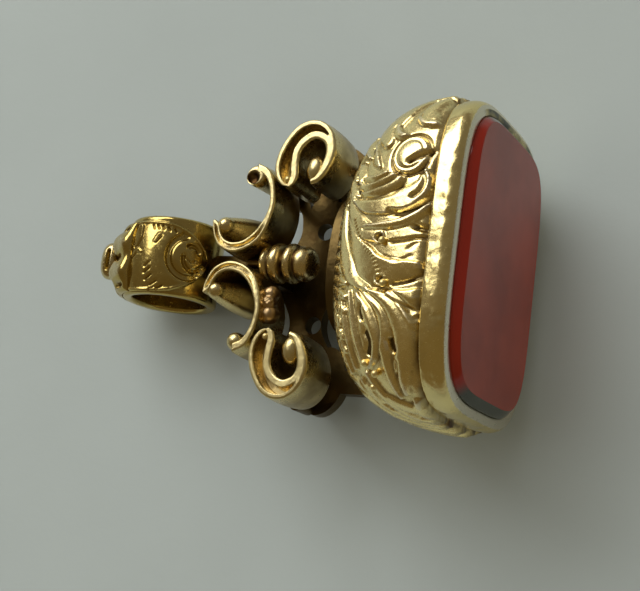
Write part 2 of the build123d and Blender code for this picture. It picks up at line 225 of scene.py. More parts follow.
def put(name, mesh, nodes):
    """Makes a mesh a piece that rides with the fob and stands for CAD nodes."""
    piece = bpy.data.objects.new(name, mesh)
    bpy.context.scene.collection.objects.link(piece)
    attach(piece, "root")
    if nodes:
        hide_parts(*nodes)


def add_piece(node, shape, material, fields=None, name=None):
    """A piece in place of a CAD node, made of points and faces, with the fields that its material reads."""
    points, faces = shape
    name = name or node + "_dressed"
    mesh = bpy.data.meshes.new(name)
    mesh.from_pydata(laid(points).tolist(), [], faces)
    solid = bmesh.new()
    solid.from_mesh(mesh)
    bmesh.ops.recalc_face_normals(solid, faces=solid.faces)
    solid.to_mesh(mesh)
    solid.free()
    mesh.shade_smooth()
    for label, values in (fields or {}).items():
        full = np.zeros(len(mesh.vertices))
        full[:np.size(values)] = np.ravel(values)
        mesh.attributes.new(label, "FLOAT", "POINT").data.foreach_set("value", full)
    mesh.materials.append(material)
    put(name, mesh, [node])


# Node trees and materials

def feed(tree, node, inputs):
    """Gives a node's inputs their values, or links them to other nodes' sockets."""
    for name, value in inputs.items():
        if isinstance(value, bpy.types.NodeSocket):
            tree.links.new(value, node.inputs[name])
        else:
            node.inputs[name].default_value = value


def add_node(tree, kind, inputs=(), **settings):
    """A new node with its settings and inputs."""
    node = tree.nodes.new(kind)
    for name, value in settings.items():
        setattr(node, name, value)
    feed(tree, node, dict(inputs))
    return node


def calc(tree, operation, *values, clamp=False):
    """A sum, a product or another result of values or sockets."""
    node = add_node(tree, "ShaderNodeMath", enumerate(values), operation=operation, use_clamp=clamp)
    return node.outputs[0]


def noise(tree, scale, detail, rough=0.5):
    """Noise on Object coordinates."""
    place = add_node(tree, "ShaderNodeTexCoord").outputs["Object"]
    inputs = {"Vector": place, "Scale": scale, "Detail": detail, "Roughness": rough}
    return add_node(tree, "ShaderNodeTexNoise", inputs).outputs["Fac"]


def ramp(tree, value, low, high, bottom=0.0, top=1.0, kind="SMOOTHSTEP"):
    """A value's place between low and high, put between bottom and top."""
    inputs = {"Value": value, "From Min": low, "From Max": high, "To Min": bottom, "To Max": top}
    return add_node(tree, "ShaderNodeMapRange", inputs, interpolation_type=kind).outputs["Result"]


def mix(tree, factor, first, second, kind="MIX"):
    """A blend of two colours."""
    inputs = {"Factor": factor, "A": first, "B": second}
    return add_node(tree, "ShaderNodeMix", inputs, data_type="RGBA", blend_type=kind).outputs["Result"]


def field(tree, name):
    """The value of a mesh's field."""
    return add_node(tree, "ShaderNodeAttribute", attribute_name=name).outputs["Fac"]


def new_tree(name, kind, inputs, outputs):
    """A new tree with its named inputs and outputs, and the nodes at its two ends."""
    tree = bpy.data.node_groups.new(name, kind)
    for way, sockets in (("INPUT", inputs), ("OUTPUT", outputs)):
        for label, socket in sockets.items():
            tree.interface.new_socket(name=label, in_out=way, socket_type="NodeSocket" + socket)
    return tree, tree.nodes.new("NodeGroupInput"), tree.nodes.new("NodeGroupOutput")


def gilt_group():
    """Colour, roughness and height of old gilding: mottled, knocked, dirty and darkened with painted shade in
    recesses, rubbed on edges.
    """
    name = "Old Gilding"
    if name in bpy.data.node_groups:
        return bpy.data.node_groups[name]
    tree, given, result = new_tree(
        name, "ShaderNodeTree",
        {"Gold": "Color", "Worn": "Color", "Grime and Shade": "Color", "Roughness": "Float", "Wear": "Float",
         "Mottle": "Float"},
        {"Colour": "Color", "Rough": "Float", "Height": "Float"})
    given = given.outputs
    dirt_and_shade_mask = field(tree, "dirt_and_shade_mask")
    clouds = noise(tree, 420, 3, 0.55)
    specks = noise(tree, 2600, 4, 0.7)
    grain = noise(tree, 7000, 2, 0.55)
    knocks = noise(tree, 1000, 2, 0.55)
    # Dirt and painted shade: the field of hollows darkens the gilding towards the grime-and-shade colour
    dirt_and_shade = calc(tree, "MULTIPLY", ramp(tree, clouds, 0.25, 0.7), dirt_and_shade_mask)
    dirt_and_shade = calc(tree, "MULTIPLY_ADD", dirt_and_shade_mask, 0.35, dirt_and_shade, clamp=True)
    mottle = calc(tree, "MULTIPLY", ramp(tree, clouds, 0.5, 0.72), given["Mottle"])
    toned = mix(tree, calc(tree, "MULTIPLY", mottle, 0.35), given["Gold"], given["Grime and Shade"])
    frayed = calc(tree, "MULTIPLY_ADD", specks, 0.8, -0.4)
    wear = ramp(tree, calc(tree, "ADD", frayed, field(tree, "rubbed")), 0.3, 0.75)
    wear = calc(tree, "MULTIPLY", wear, given["Wear"], clamp=True)
    worn = mix(tree, wear, toned, given["Worn"])
    rough = calc(tree, "MULTIPLY_ADD", ramp(tree, specks, 0.45, 0.75), 0.12, given["Roughness"])
    rough = calc(tree, "MULTIPLY_ADD", wear, 0.1, rough)
    rough = calc(tree, "MULTIPLY_ADD", dirt_and_shade, 0.14, rough, clamp=True)
    height = calc(tree, "MULTIPLY_ADD", specks, 0.6, calc(tree, "MULTIPLY", grain, 0.4))
    height = calc(tree, "MULTIPLY_ADD", knocks, 4.0, height)
    feed(tree, result, {"Colour": mix(tree, dirt_and_shade, worn, given["Grime and Shade"]), "Rough": rough, "Height": height})
    return tree


def new_material(name, inputs):
    """A new material with values for its shader's inputs, and its tree and shader."""
    material = bpy.data.materials.new(name)
    material.use_nodes = True
    tree = material.node_tree
    shader = tree.nodes["Principled BSDF"]
    feed(tree, shader, inputs)
    return material, tree, shader


def relief_normal(tree, height, strength, distance):
    """A normal bent by a height."""
    inputs = {"Height": height, "Strength": strength, "Distance": distance}
    return add_node(tree, "ShaderNodeBump", inputs).outputs["Normal"]


# A finish is its roughness, wear, mottling and bump, then its colours: clean, worn, and grime with painted
# shade.
FINISHES = {
    "Chased Gilding": (0.23, 0.5, 0.35, 0.25, "gold", "worn", "grime_and_shade"),
    "Bezel Gilding": (0.19, 0.9, 0.4, 0.2, "bezel", "silver", "setting_mottle_and_shade"),
    "Pin Gilding": (0.4, 0.2, 0.1, 0.05, "gold", "worn", "grime_and_shade"),
    "Scroll Gilding": (0.24, 0.8, 0.5, 0.3, "scroll", "scroll_worn", "grime_and_shade"),
    "Boss Gilding": (0.26, 0.3, 0.5, 0.12, "scroll", "worn", "grime_and_shade"),
    "Solder": (0.34, 0.3, 0.8, 0.6, "solder", "worn", "grime_and_shade"),
    "Loop Gilding": (0.18, 0.4, 0.4, 0.2, "loop", "worn", "grime_and_shade"),
    "Frame Painted Shade": (0.36, 0.3, 0.9, 0.3, "frame", "worn", "grime_and_shade"),
}


def paint(name):
    """One of the fob's colours, with its alpha."""
    return (*getattr(bpy.context.scene.fob.colours, name), 1)


def gilt(name):
    """The gilding with a finish's name."""
    if name in bpy.data.materials:
        return bpy.data.materials[name]
    roughness, wear, mottle, bump, clean, worn, grime_and_shade = FINISHES[name]
    material, tree, shader = new_material(name, {"Metallic": 1.0})
    group = add_node(tree, "ShaderNodeGroup", node_tree=gilt_group())
    feed(tree, group, {"Gold": paint(clean), "Worn": paint(worn), "Grime and Shade": paint(grime_and_shade),
                       "Roughness": roughness, "Wear": wear, "Mottle": mottle})
    made = group.outputs
    feed(tree, shader, {"Base Color": made["Colour"], "Roughness": made["Rough"],
                        "Normal": relief_normal(tree, made["Height"], bump, 0.00004)})
    return material


def carnelian():
    """Polished translucent red-brown stone with faint clouds, a painted glow on its bevel and painted dark
    reflections at its ends.
    """
    material, tree, shader = new_material("Carnelian", {"Roughness": 0.06, "IOR": 1.5})
    clouds = ramp(tree, noise(tree, 130, 3), 0.35, 0.75, kind="LINEAR")
    coloured = mix(tree, clouds, paint("stone"), paint("stone_light"))
    # Painted glow on the bevel, then painted dark reflection at the ends
    coloured = mix(tree, field(tree, "bevel"), coloured, paint("stone_bevel_glow"))
    coloured = mix(tree, field(tree, "end"), coloured, paint("stone_end_reflection"))
    feed(tree, shader, {"Base Color": coloured})
    return material


def table_paper():
    """Matt pale paper with a faint tooth."""
    material, tree, shader = new_material("Table Paper", {"Roughness": 0.9, "Specular IOR Level": 0.2})
    tone = ramp(tree, noise(tree, 60, 3), 0, 1, 0.94, 1.06, kind="LINEAR")
    feed(tree, shader, {"Base Color": mix(tree, 1, paint("table"), tone, "MULTIPLY"),
                        "Normal": relief_normal(tree, noise(tree, 900, 4), 0.12, 0.0002)})
    return material


# Setting

def unit_cushion(turns, power):
    """How far a cushion of half sizes 1 reaches at angles from the +Y end."""
    return (np.abs(np.cos(turns)) ** power + np.abs(np.sin(turns)) ** power) ** (-1 / power)


def cushion(half_length, half_depth, power, rise, turns):
    """Points of a cushion outline across the axis, at angles from the +Y end."""
    reach = unit_cushion(turns, power)
    return triples(-rise, half_length * reach * np.cos(turns), half_depth * reach * np.sin(turns))


SEAM_TURNS = np.linspace(0, 2 * math.pi, 8001)
SEAM_LINE = cushion(DOME_LENGTH, DOME_DEPTH, BASE_POWER, 0, SEAM_TURNS)
SEAM_RUN = np.concatenate([[0], np.cumsum(np.linalg.norm(np.diff(SEAM_LINE, axis=0), axis=1))])
SEAM_LENGTH = SEAM_RUN[-1]
SEAM_FRONT = np.interp(math.pi / 2, SEAM_TURNS, SEAM_RUN)
# Points inside the dome, from which its outside is told
HEART = np.array((-4.0, 0.0, 0.0))
LINE_HEART = np.array((-5.0, 0.0, 0.0))


def seam_turn(run):
    """The angle of a place that is a run along the seam from the front's middle, positive towards +Y."""
    return np.interp((SEAM_FRONT - np.asarray(run, float)) % SEAM_LENGTH, SEAM_RUN, SEAM_TURNS)


def dome_point(run, climb):
    """A point on the smooth dome, at a run along its seam and a climb from seam to crown."""
    angle = np.pi * np.asarray(climb, float) / 2
    share = np.sin(angle) ** (2 / DOME_ROUND)
    size = np.cos(angle) ** (2 / DOME_ROUND)
    power = BASE_POWER + (DOME_TOP_POWER - BASE_POWER) * share
    rise = BEZEL_HEIGHT + DOME_HEIGHT * share - FOOT_DROP * (1 - share) ** 3
    return cushion(DOME_LENGTH * size, DOME_DEPTH * size, power, rise, seam_turn(run))


def near_line(points, line, reach):
    """Points within reach of a line: which ones, how far off, how far along, and on which side."""
    inside = np.all((points > line.min(0) - reach) & (points < line.max(0) + reach), axis=1)
    which = np.flatnonzero(inside)
    if not len(which):
        return which, *np.zeros((3, 0))
    start, step = line[:-1], np.diff(line, axis=0)
    gap = points[which][:, None] - start
    part = np.clip((gap * step).sum(2) / ((step ** 2).sum(1) + 1e-12), 0, 1)
    off = gap - part[..., None] * step
    squared = (off ** 2).sum(2)
    best = squared.argmin(1)
    row = np.arange(len(which))
    along = (best + part[row, best]) / len(step)
    side = np.sign((np.cross(step[best], off[row, best]) * (points[which] - LINE_HEART)).sum(1))
    return which, np.sqrt(squared[row, best]), along, side


def leaf(height, points, line, widths, level, crown, tilt=0.0):
    """Lays a leaf on the relief: level at its edges, crowned in the middle, creased round its outline."""
    which, off, along, side = near_line(points, line, max(widths) + 0.3)
    width = np.interp(along, np.linspace(0, 1, len(widths)), widths)
    share = np.clip(off / np.maximum(width, 1e-3), 0, 1)
    target = level + crown * (1 - share ** 2) + tilt * side * share
    mask = smooth((width - off) / 0.11 + 0.5)
    height[which] = height[which] * (1 - mask) + target * mask - 0.06 * bell((off - width) / 0.075)


def cut(height, points, line, width, depth):
    """Cuts a groove along a line, or raises a ridge where the depth is negative."""
    which, off, along, _ = near_line(points, line, 3 * width)
    fade = np.minimum(1, 12 * np.minimum(along, 1 - along) + 0.25)
    height[which] -= depth * fade * bell(off / width)


def mill(height, points, line, width, depth, teeth):
    """A milled edge: a ridge with teeth across it."""
    which, off, along, _ = near_line(points, line, 3 * width)
    height[which] += depth * np.cos(2 * math.pi * teeth * along) * bell(off / width)


def dome_line(stops, count=40):
    """A line on the dome through stops given as run and climb."""
    return dome_point(*spline(stops, count).T)


# Relief of one half of the dome, which the other half repeats turned about the axis. Places are a run in
# millimetres along the seam from the front's middle, and a climb from 0 at the seam to 1 on the axis.
# A leaf is its middle line's stops, half widths, level, crown and tilt. Its tilt lifts the left of its line.
CRESCENT_LEAVES = (
    (((-2.6, 0.02), (-2.75, 0.2), (-2.0, 0.29), (-0.9, 0.37), (0.2, 0.41), (1.2, 0.445), (2.4, 0.48),
      (3.5, 0.5), (4.8, 0.525)), (0.7, 1.3, 1.4, 1.15, 0.9, 0.85, 0.6, 0.45, 0.2), -0.2, 0.04, -0.17),
    (((-4.1, 0.24), (-3.5, 0.345), (-2.6, 0.405), (-1.7, 0.455), (-0.6, 0.495), (0.6, 0.525), (2.2, 0.545),
      (3.6, 0.555), (4.8, 0.565)), (0.3, 0.5, 0.75, 0.8, 0.7, 0.55, 0.42, 0.34, 0.2), -0.16, 0.1, 0.1),
)
LOBE_LEAVES = (
    (((0.2, 0.2), (0.8, 0.3), (1.8, 0.37), (2.8, 0.43), (3.8, 0.47), (5.0, 0.5)),
     (0.5, 0.75, 0.65, 0.5, 0.4, 0.2), -0.16, 0.03, 0.06),
    (((0.25, 0.34), (-1.5, 0.203), (-1.95, 0.085), (-1.6, 0.0)), (0.4, 1.25, 1.45, 1.2), -0.22, 0.22, 0.0),
    (((1.7, 0.292), (0.7, 0.158), (0.6, 0.055), (1.3, 0.0)), (0.4, 0.7, 0.75, 0.5), -0.16, 0.14, 0.04),
    (((-4.35, 0.115), (-4.65, 0.043), (-4.65, 0.0)), (0.25, 0.6, 0.8), -0.1, 0.08, 0.06),
)
CURL_LEAVES = (
    (((1.05, 0.3), (0.95, 0.18), (1.15, 0.09), (1.75, 0.03), (2.5, 0.0)),
     (0.2, 0.3, 0.34, 0.34, 0.25), -0.05, 0.05, 0.12),
    (((1.7, 0.33), (1.5, 0.2), (1.62, 0.11), (2.15, 0.04), (2.9, 0.0)),
     (0.25, 0.34, 0.3, 0.25, 0.2), -0.16, 0.05, 0.1),
    (((3.9, 0.41), (3.0, 0.31), (2.75, 0.18), (3.1, 0.08), (4.0, 0.03), (5.0, 0.03)),
     (0.25, 0.6, 0.85, 0.95, 0.7, 0.3), -0.06, 0.1, -0.1),
    (((4.6, 0.42), (4.0, 0.31), (3.95, 0.2), (4.45, 0.13), (5.2, 0.11)),
     (0.2, 0.36, 0.42, 0.4, 0.3), -0.12, 0.08, 0.1),
    (((5.3, 0.42), (4.75, 0.32), (4.75, 0.22), (5.15, 0.16)), (0.2, 0.35, 0.35, 0.25), -0.2, 0.08, 0.12),
    (((5.9, 0.37), (5.35, 0.28), (5.5, 0.21)), (0.25, 0.3, 0.2), -0.24, 0.08, 0.12),
)
RIGHT_LEAVES = (
    (((8.7, 0.24), (10.3, 0.26), (12.0, 0.22), (13.6, 0.12)), (0.6, 1.3, 1.5, 0.9), -0.12, 0.1, 0.0),
    (((9.3, 0.03), (10.8, 0.06), (12.4, 0.03)), (0.5, 0.8, 0.6), -0.16, 0.12, 0.05),
    (((3.3, 0.37), (4.3, 0.425), (5.3, 0.46), (6.6, 0.5), (7.6, 0.52)),
     (0.2, 0.34, 0.36, 0.3, 0.2), -0.14, 0.04, 0.2),
    (((4.7, 0.33), (5.6, 0.375), (6.7, 0.405), (8.2, 0.435), (9.2, 0.47)),
     (0.2, 0.36, 0.44, 0.36, 0.2), -0.14, 0.04, 0.2),
    (((6.4, 0.27), (7.4, 0.31), (8.6, 0.34), (9.8, 0.35)), (0.25, 0.5, 0.5, 0.2), -0.18, 0.05, -0.15),
    (((8.6, 0.37), (9.6, 0.4), (10.8, 0.42), (12.2, 0.42)), (0.25, 0.4, 0.4, 0.2), -0.12, 0.04, 0.18),
    (((8.5, 0.14), (9.1, 0.19), (10.1, 0.21)), (0.25, 0.4, 0.3), -0.05, 0.08, -0.14),
    (((9.1, 0.02), (9.5, 0.07), (10.2, 0.1)), (0.2, 0.3, 0.2), -0.05, 0.08, -0.1),
    (((13.4, 0.0), (14.3, 0.14), (14.8, 0.3), (14.6, 0.46)), (0.5, 0.8, 0.8, 0.3), -0.12, 0.14, 0.06),
    (((15.4, 0.0), (16.3, 0.14), (16.8, 0.3), (16.7, 0.48)), (0.6, 0.85, 0.8, 0.3), -0.1, 0.14, 0.06),
    (((17.5, 0.0), (18.4, 0.14), (18.9, 0.3), (18.9, 0.46)), (0.6, 0.85, 0.8, 0.3), -0.1, 0.14, 0.06),
)
LEFT_LEAVES = (
    (((-14.3, 0.0), (-13.6, 0.14), (-13.4, 0.28), (-14.0, 0.46)), (0.6, 0.8, 0.8, 0.3), -0.12, 0.14, 0.0),
    (((-16.6, 0.0), (-16.0, 0.14), (-16.0, 0.3), (-16.6, 0.46)), (0.6, 0.85, 0.8, 0.3), -0.1, 0.14, 0.0),
    (((-18.8, 0.0), (-18.3, 0.14), (-18.4, 0.3), (-18.9, 0.46)), (0.6, 0.85, 0.8, 0.3), -0.1, 0.14, 0.0),
    (((-12.95, 0.018), (-14.55, 0.015), (-16.0, 0.0)), (0.3, 0.5, 0.3), -0.05, 0.1, 0.0),
    (((-4.7, 0.375), (-6.75, 0.35), (-8.65, 0.318), (-10.35, 0.263)), (0.2, 0.4, 0.5, 0.3), -0.14, 0.08, 0.1),
    (((-5.6, 0.46), (-7.6, 0.43), (-9.6, 0.39), (-11.6, 0.33)), (0.2, 0.4, 0.5, 0.3), -0.14, 0.08, 0.1),
    (((-6.8, 0.55), (-8.8, 0.51), (-10.8, 0.46), (-12.8, 0.39)), (0.2, 0.4, 0.5, 0.3), -0.14, 0.08, 0.1),
    (((-4.6, 0.31), (-5.95, 0.24), (-7.5, 0.193), (-9.1, 0.175), (-10.75, 0.215)),
     (0.15, 0.5, 0.62, 0.5, 0.2), -0.26, 0.22, 0.0),
    (((-4.35, 0.265), (-5.6, 0.158), (-7.3, 0.12), (-9.1, 0.122), (-11.1, 0.1), (-12.75, 0.072)),
     (0.15, 0.42, 0.48, 0.5, 0.45, 0.2), -0.24, 0.2, 0.0),
    (((-4.15, 0.25), (-5.0, 0.128), (-6.35, 0.062), (-8.0, 0.037), (-10.05, 0.048), (-12.15, 0.045)),
     (0.1, 0.55, 0.95, 1.0, 0.8, 0.3), -0.26, 0.26, 0.0),
    (((-7.3, 0.007), (-8.9, 0.0), (-10.65, 0.005), (-12.25, 0.045), (-12.85, 0.113)),
     (0.3, 0.42, 0.45, 0.35, 0.2), -0.08, 0.1, -0.06),
    (((-11.4, 0.235), (-12.95, 0.177), (-14.55, 0.115), (-16.2, 0.05), (-17.6, 0.0)),
     (0.3, 0.5, 0.55, 0.5, 0.3), -0.1, 0.08, 0.08),
    (((-12.55, 0.29), (-15.0, 0.198), (-17.0, 0.1), (-18.6, 0.02)), (0.3, 0.5, 0.55, 0.4), -0.14, 0.08, 0.08),
)
# A groove or pit is its stops, half width and depth. A negative depth raises a ridge.
GROOVES = (
    (((2.1, 0.17), (1.95, 0.1), (2.25, 0.045), (3.0, 0.0)), 0.2, 0.4),
    (((2.95, 0.07), (3.5, 0.035), (4.4, 0.025), (5.2, 0.045), (5.6, 0.09)), 0.17, 0.38),
    (((3.9, 0.34), (3.4, 0.26), (3.45, 0.17), (4.0, 0.12), (4.9, 0.115)), 0.1, 0.16),
    (((3.9, 0.355), (4.6, 0.395), (5.5, 0.425), (6.6, 0.455), (7.8, 0.475)), 0.17, 0.25),
    (((8.4, 0.345), (9.4, 0.37), (10.4, 0.385)), 0.25, 0.3),
    (((0.85, 0.05), (0.65, 0.022), (0.55, 0.0)), 0.2, 0.4),
    (((-0.35, 0.145), (-0.25, 0.077), (-0.05, 0.025), (-0.1, 0.0)), 0.11, 0.3),
    (((-1.4, 0.17), (-1.9, 0.1), (-1.4, 0.04)), 0.1, 0.1),
    (((-1.0, 0.06), (-0.4, 0.028)), 0.1, 0.12),
    (((-3.65, 0.113), (-3.35, 0.043), (-2.85, 0.0)), 0.12, 0.32),
    (((-3.85, 0.195), (-4.1, 0.118), (-4.85, 0.052), (-5.8, 0.015)), 0.1, 0.18),
    (((-4.1, 0.25), (-4.25, 0.193), (-4.5, 0.12), (-5.15, 0.068), (-6.15, 0.03), (-7.05, 0.005)),
     0.13, -0.16),
    (((-4.7, 0.253), (-5.35, 0.198), (-6.35, 0.16), (-7.9, 0.138), (-9.15, 0.145)), 0.1, -0.12),
    (((-4.75, 0.022), (-4.45, 0.0)), 0.12, -0.2),
    (((-5.35, 0.02), (-5.05, 0.0)), 0.12, -0.2),
    (((-6.0, 0.015), (-5.7, 0.0)), 0.12, -0.15),
    (((-6.6, 0.012), (-6.3, 0.0)), 0.12, -0.2),
    (((-7.2, 0.01), (-7.0, 0.0)), 0.12, -0.2),
    (((-5.4, 0.275), (-6.2, 0.283), (-6.9, 0.265)), 0.2, 0.3),
    (((-7.6, 0.242), (-8.5, 0.212), (-9.85, 0.228)), 0.34, 0.3),
    (((-7.8, 0.103), (-8.3, 0.09), (-8.85, 0.077)), 0.18, 0.5),
    (((-9.45, 0.07), (-10.3, 0.068), (-11.25, 0.077)), 0.14, 0.2),
)
# Eyelets, the pins beside them and the pins on leaves, as places on the dome
EYELETS = ((0.05, 0.2), (-3.35, 0.17))
EYELET_RADIUS = 0.45
PIN_OFFSET = (-0.32, -0.028)
LEAF_PINS = ((-10.95, 0.173), (-12.4, 0.2), (-10.4, 0.233))
MILLED_EDGES = (
    (((2.1, 0.395), (0.65, 0.345), (-0.7, 0.268), (-1.65, 0.215), (-2.95, 0.17)), 0.13, 0.09, 17),
    (((-10.4, 0.44), (-9.4, 0.45), (-8.6, 0.47)), 0.12, 0.07, 9),
)
# The pin in a C-scroll's flute, as shares of the scroll, then the volute's head and the ribs by the crown
FLUTE_PIN = (0.52, -0.76)
VOLUTE = (6.7, 0.1)
VOLUTE_REACH = 1.7
RIBS_BY_HALF = 24


def eyelet(height, points, place):
    """A drilled pit, which a pin head stands beside."""
    off = np.linalg.norm(points - dome_point(*place), axis=1)
    height[off < EYELET_RADIUS] = -0.05
    height -= 0.55 * np.exp(-(off / (0.75 * EYELET_RADIUS)) ** 4)


def snail(height, points, place, reach):
    """A volute's head: a domed disc in a ring groove, with a comma cut into it."""
    off = np.linalg.norm(points - dome_point(*place), axis=1)
    mask = smooth((reach - off) / 0.08 + 0.5)
    height[:] = height * (1 - mask) + (0.02 - 0.22 * (off / reach) ** 2) * mask
    height -= 0.32 * bell((off - reach) / 0.13) + 0.12 * bell((off - 0.72 * reach) / 0.1)
    run, climb = place
    comma = dome_line(((run - 0.75, climb), (run - 0.35, climb - 0.04), (run + 0.1, climb - 0.085)))
    cut(height, points, comma, 0.2, 0.45)


def relief(points):
    """Heights of the chasing at points of the smooth dome, before it is softened."""
    height = np.full(len(points), -0.32)
    halves = [points * (1, turn, turn) for turn in (1, -1)]

    def lay(tool, line, *sizes):
        for half in halves:
            tool(height, half, line, *sizes)

    for step in range(RIBS_BY_HALF):
        top = SEAM_LENGTH / 2 * ((step + 0.5) / RIBS_BY_HALF - 0.5)
        low = top - 0.15 * (top + 3)
        rib = dome_line(((low, 0.42), ((low + top) / 2, 0.58), (top, 0.765)))
        lay(leaf, rib, (0.3, 0.58, 0.42, 0.34), -0.2, 0.16, 0.05)
    for stops, *sizes in LEFT_LEAVES + RIGHT_LEAVES + CRESCENT_LEAVES + LOBE_LEAVES + CURL_LEAVES:
        lay(leaf, dome_line(stops), *sizes)
    for stops, *sizes in GROOVES:
        lay(cut, dome_line(stops), *sizes)
    for stops, *sizes in MILLED_EDGES:
        lay(mill, dome_line(stops, 80), *sizes)
    for half in halves:
        snail(height, half, VOLUTE, VOLUTE_REACH)
        for place in EYELETS:
            eyelet(height, half, place)
    return height


def blurred(grid, rounds):
    """A height grid averaged with its neighbours, closed in the second direction."""
    for _ in range(rounds):
        padded = np.vstack([grid[:1], grid, grid[-1:]])
        around = np.roll(grid, 1, 1) + np.roll(grid, -1, 1)
        grid = (padded[:-2] + padded[2:] + around + 2 * grid) / 6
    return grid


def wear_fields(height, rounds, margin, span):
    """Dirt and painted shade where a relief lies below its blurred self, and wear where it stands above."""
    low = blurred(height, rounds)
    dirt_and_shade_mask = np.clip((low - height - margin) / span[0], 0, 1)
    rubbed = np.clip((height - low - 0.01) / span[1], 0, 1)
    return dirt_and_shade_mask, rubbed


class FOB_OT_dome(bpy.types.Operator):
    """Chased dome between the bezel and the frame"""
    bl_idname = "fob.dome"
    bl_label = "Chased Dome"

    def execute(self, context):
        sizes = context.scene.fob.sizes
        share = np.linspace(0, 1, sizes.chase_columns, endpoint=False)
        run = SEAM_LENGTH * (share - 0.5 + 0.055 * np.sin(2 * math.pi * share))
        climb = np.linspace(0, DOME_END, sizes.chase_rows)[:, None]
        grid = dome_point(run[None], climb)
        height = blurred(relief(grid.reshape(-1, 3)).reshape(grid.shape[:2]), 1)
        dirt_and_shade_mask, rubbed = wear_fields(height, 14, 0.02, (0.16, 0.12))
        seam = bell(climb / 0.01)
        height = np.minimum(height, 0) - 0.25 * seam
        normal = np.cross(np.roll(grid, -1, 1) - np.roll(grid, 1, 1), np.gradient(grid, axis=0))
        normal /= np.linalg.norm(normal, axis=-1, keepdims=True)
        normal *= np.sign(((grid - HEART) * normal).sum(-1, keepdims=True))
        # The seam and the chasing's hollows are darkened with dirt and painted shade
        fields = {"dirt_and_shade_mask": np.maximum(dirt_and_shade_mask, 0.8 * seam), "rubbed": rubbed}
        add_piece("seal_dome", skin(grid + normal * height[..., None]), gilt("Chased Gilding"), fields,
                  name="chased_dome")
        return {"FINISHED"}


# The bezel's section, as an inset from the widest outline and a rise from the rim
BEZEL_OUTLINE = (
    (LIP_INSET, 0.6), (LIP_INSET, 0.12), (LIP_INSET - 0.07, 0.03), (0.95, 0.0), (0.72, 0.03), (0.52, 0.1),
    (0.38, 0.2), (0.235, 0.42), (0.16, 0.65), (0.125, 0.9), (0.13, 1.15), (0.155, 1.45), (0.19, 1.75),
    (0.24, 2.01), (0.4, 2.1), (0.7, 2.1), (LIP_INSET, 2.1), (LIP_INSET, 1.6))
# Points round the band, up its section and round the stone, and how many small knocks the band has
BEZEL_COLUMNS, BEZEL_ROWS, STONE_COLUMNS, KNOCKS = 700, 96, 300, 320


class FOB_OT_bezel(bpy.types.Operator):
    """Smooth band round the stone, with its worn rim"""
    bl_idname = "fob.bezel"
    bl_label = "Bezel"

    def execute(self, context):
        inset, rise = np.maximum(spline(BEZEL_OUTLINE, BEZEL_ROWS, closed=True), (0.002, -1)).T
        run = np.linspace(0, SEAM_LENGTH, BEZEL_COLUMNS, endpoint=False)[:, None]
        turns = seam_turn(run)
        rings = cushion(HALF_LENGTH - inset, HALF_DEPTH - inset, BASE_POWER, rise, turns)
        rings -= self.dents(run, rise)[..., None] * (rings - (-1.3, 0, 0)) * (0, 0.1, 0.12)
        # Painted shade at the lip's ends; the bare rim elsewhere is worn
        end = smooth((np.cos(turns) - END_START) / 0.1)
        dirt_and_shade_mask = end * smooth((inset - 0.68) / 0.1) * (rise < 0.3)
        rubbed = 0.78 * smooth((0.24 - rise) / 0.14) * (inset > 0.25) * (1 - dirt_and_shade_mask)
        add_piece("bezel_collet", skin(rings, wrap=True), gilt("Bezel Gilding"),
                  {"rubbed": rubbed, "dirt_and_shade_mask": dirt_and_shade_mask}, name="bezel")
        return {"FINISHED"}

    def dents(self, run, rise):
        """Depths of small knocks at places round and up the band."""
        chance = np.random.default_rng(7)
        depth = np.zeros(np.broadcast(run, rise).shape)
        for _ in range(KNOCKS):
            place = chance.uniform(0, SEAM_LENGTH)
            level = chance.uniform(0.3, 2.0)
            reach = chance.uniform(0.2, 0.7)
            gap = (run - place + SEAM_LENGTH / 2) % SEAM_LENGTH - SEAM_LENGTH / 2
            depth += chance.uniform(-0.02, 0.025) * np.exp(-(gap ** 2 + (rise - level) ** 2) / reach ** 2)
        return depth * smooth((rise - 0.15) / 0.4) * smooth((2.05 - rise) / 0.3)


class FOB_OT_stone(bpy.types.Operator):
    """Carnelian with a plain polished face and a bevel"""
    bl_idname = "fob.stone"
    bl_label = "Stone"

    def execute(self, context):
        bevel = context.scene.fob.sizes.stone_bevel / METRES
        edge = LIP_INSET + 0.02
        start = bevel - FACE_PROUD
        outline = ((edge, 1.5, 0), (edge, 0.6, 0), (edge, start + 0.04, 0), (edge + 0.03, start - 0.03, 0),
                   (edge + 0.5 * bevel, (start - FACE_PROUD) / 2, 0.5),
                   (edge + bevel - 0.03, 0.03 - FACE_PROUD, 1), (edge + bevel, -FACE_PROUD, 1),
                   (edge + bevel + 0.05, -FACE_PROUD, 1), (edge + bevel + 0.6, -FACE_PROUD, 1))
        turns = seam_turn(np.linspace(0, SEAM_LENGTH, STONE_COLUMNS, endpoint=False))
        rings = []
        for inset, rise, share in outline:
            power = BASE_POWER + share * (FACE_POWER - BASE_POWER)
            gap = share * REAR_GAP / 2
            half_length = HALF_LENGTH - inset - share * END_GAP
            rings.append(cushion(half_length, HALF_DEPTH - inset - gap, power, rise, turns) + (0, 0, gap))
        rings += [rings[-1] * (1, size, size) for size in (0.75, 0.5, 0.25)]
        # Painted glow on the stone's sides and bevel
        edges = np.array([inset < edge + bevel - 0.01 for inset, _, _ in outline] + 3 * [False])[:, None]
        # Painted dark reflection on the stone's ends
        ends = smooth((np.abs(np.cos(turns)) - END_START) / 0.1)
        fields = {"bevel": edges + 0 * ends, "end": edges * ends}
        add_piece("seal_stone", skin(rings), carnelian(), fields, "carnelian")
        return {"FINISHED"}


# Scroll frame

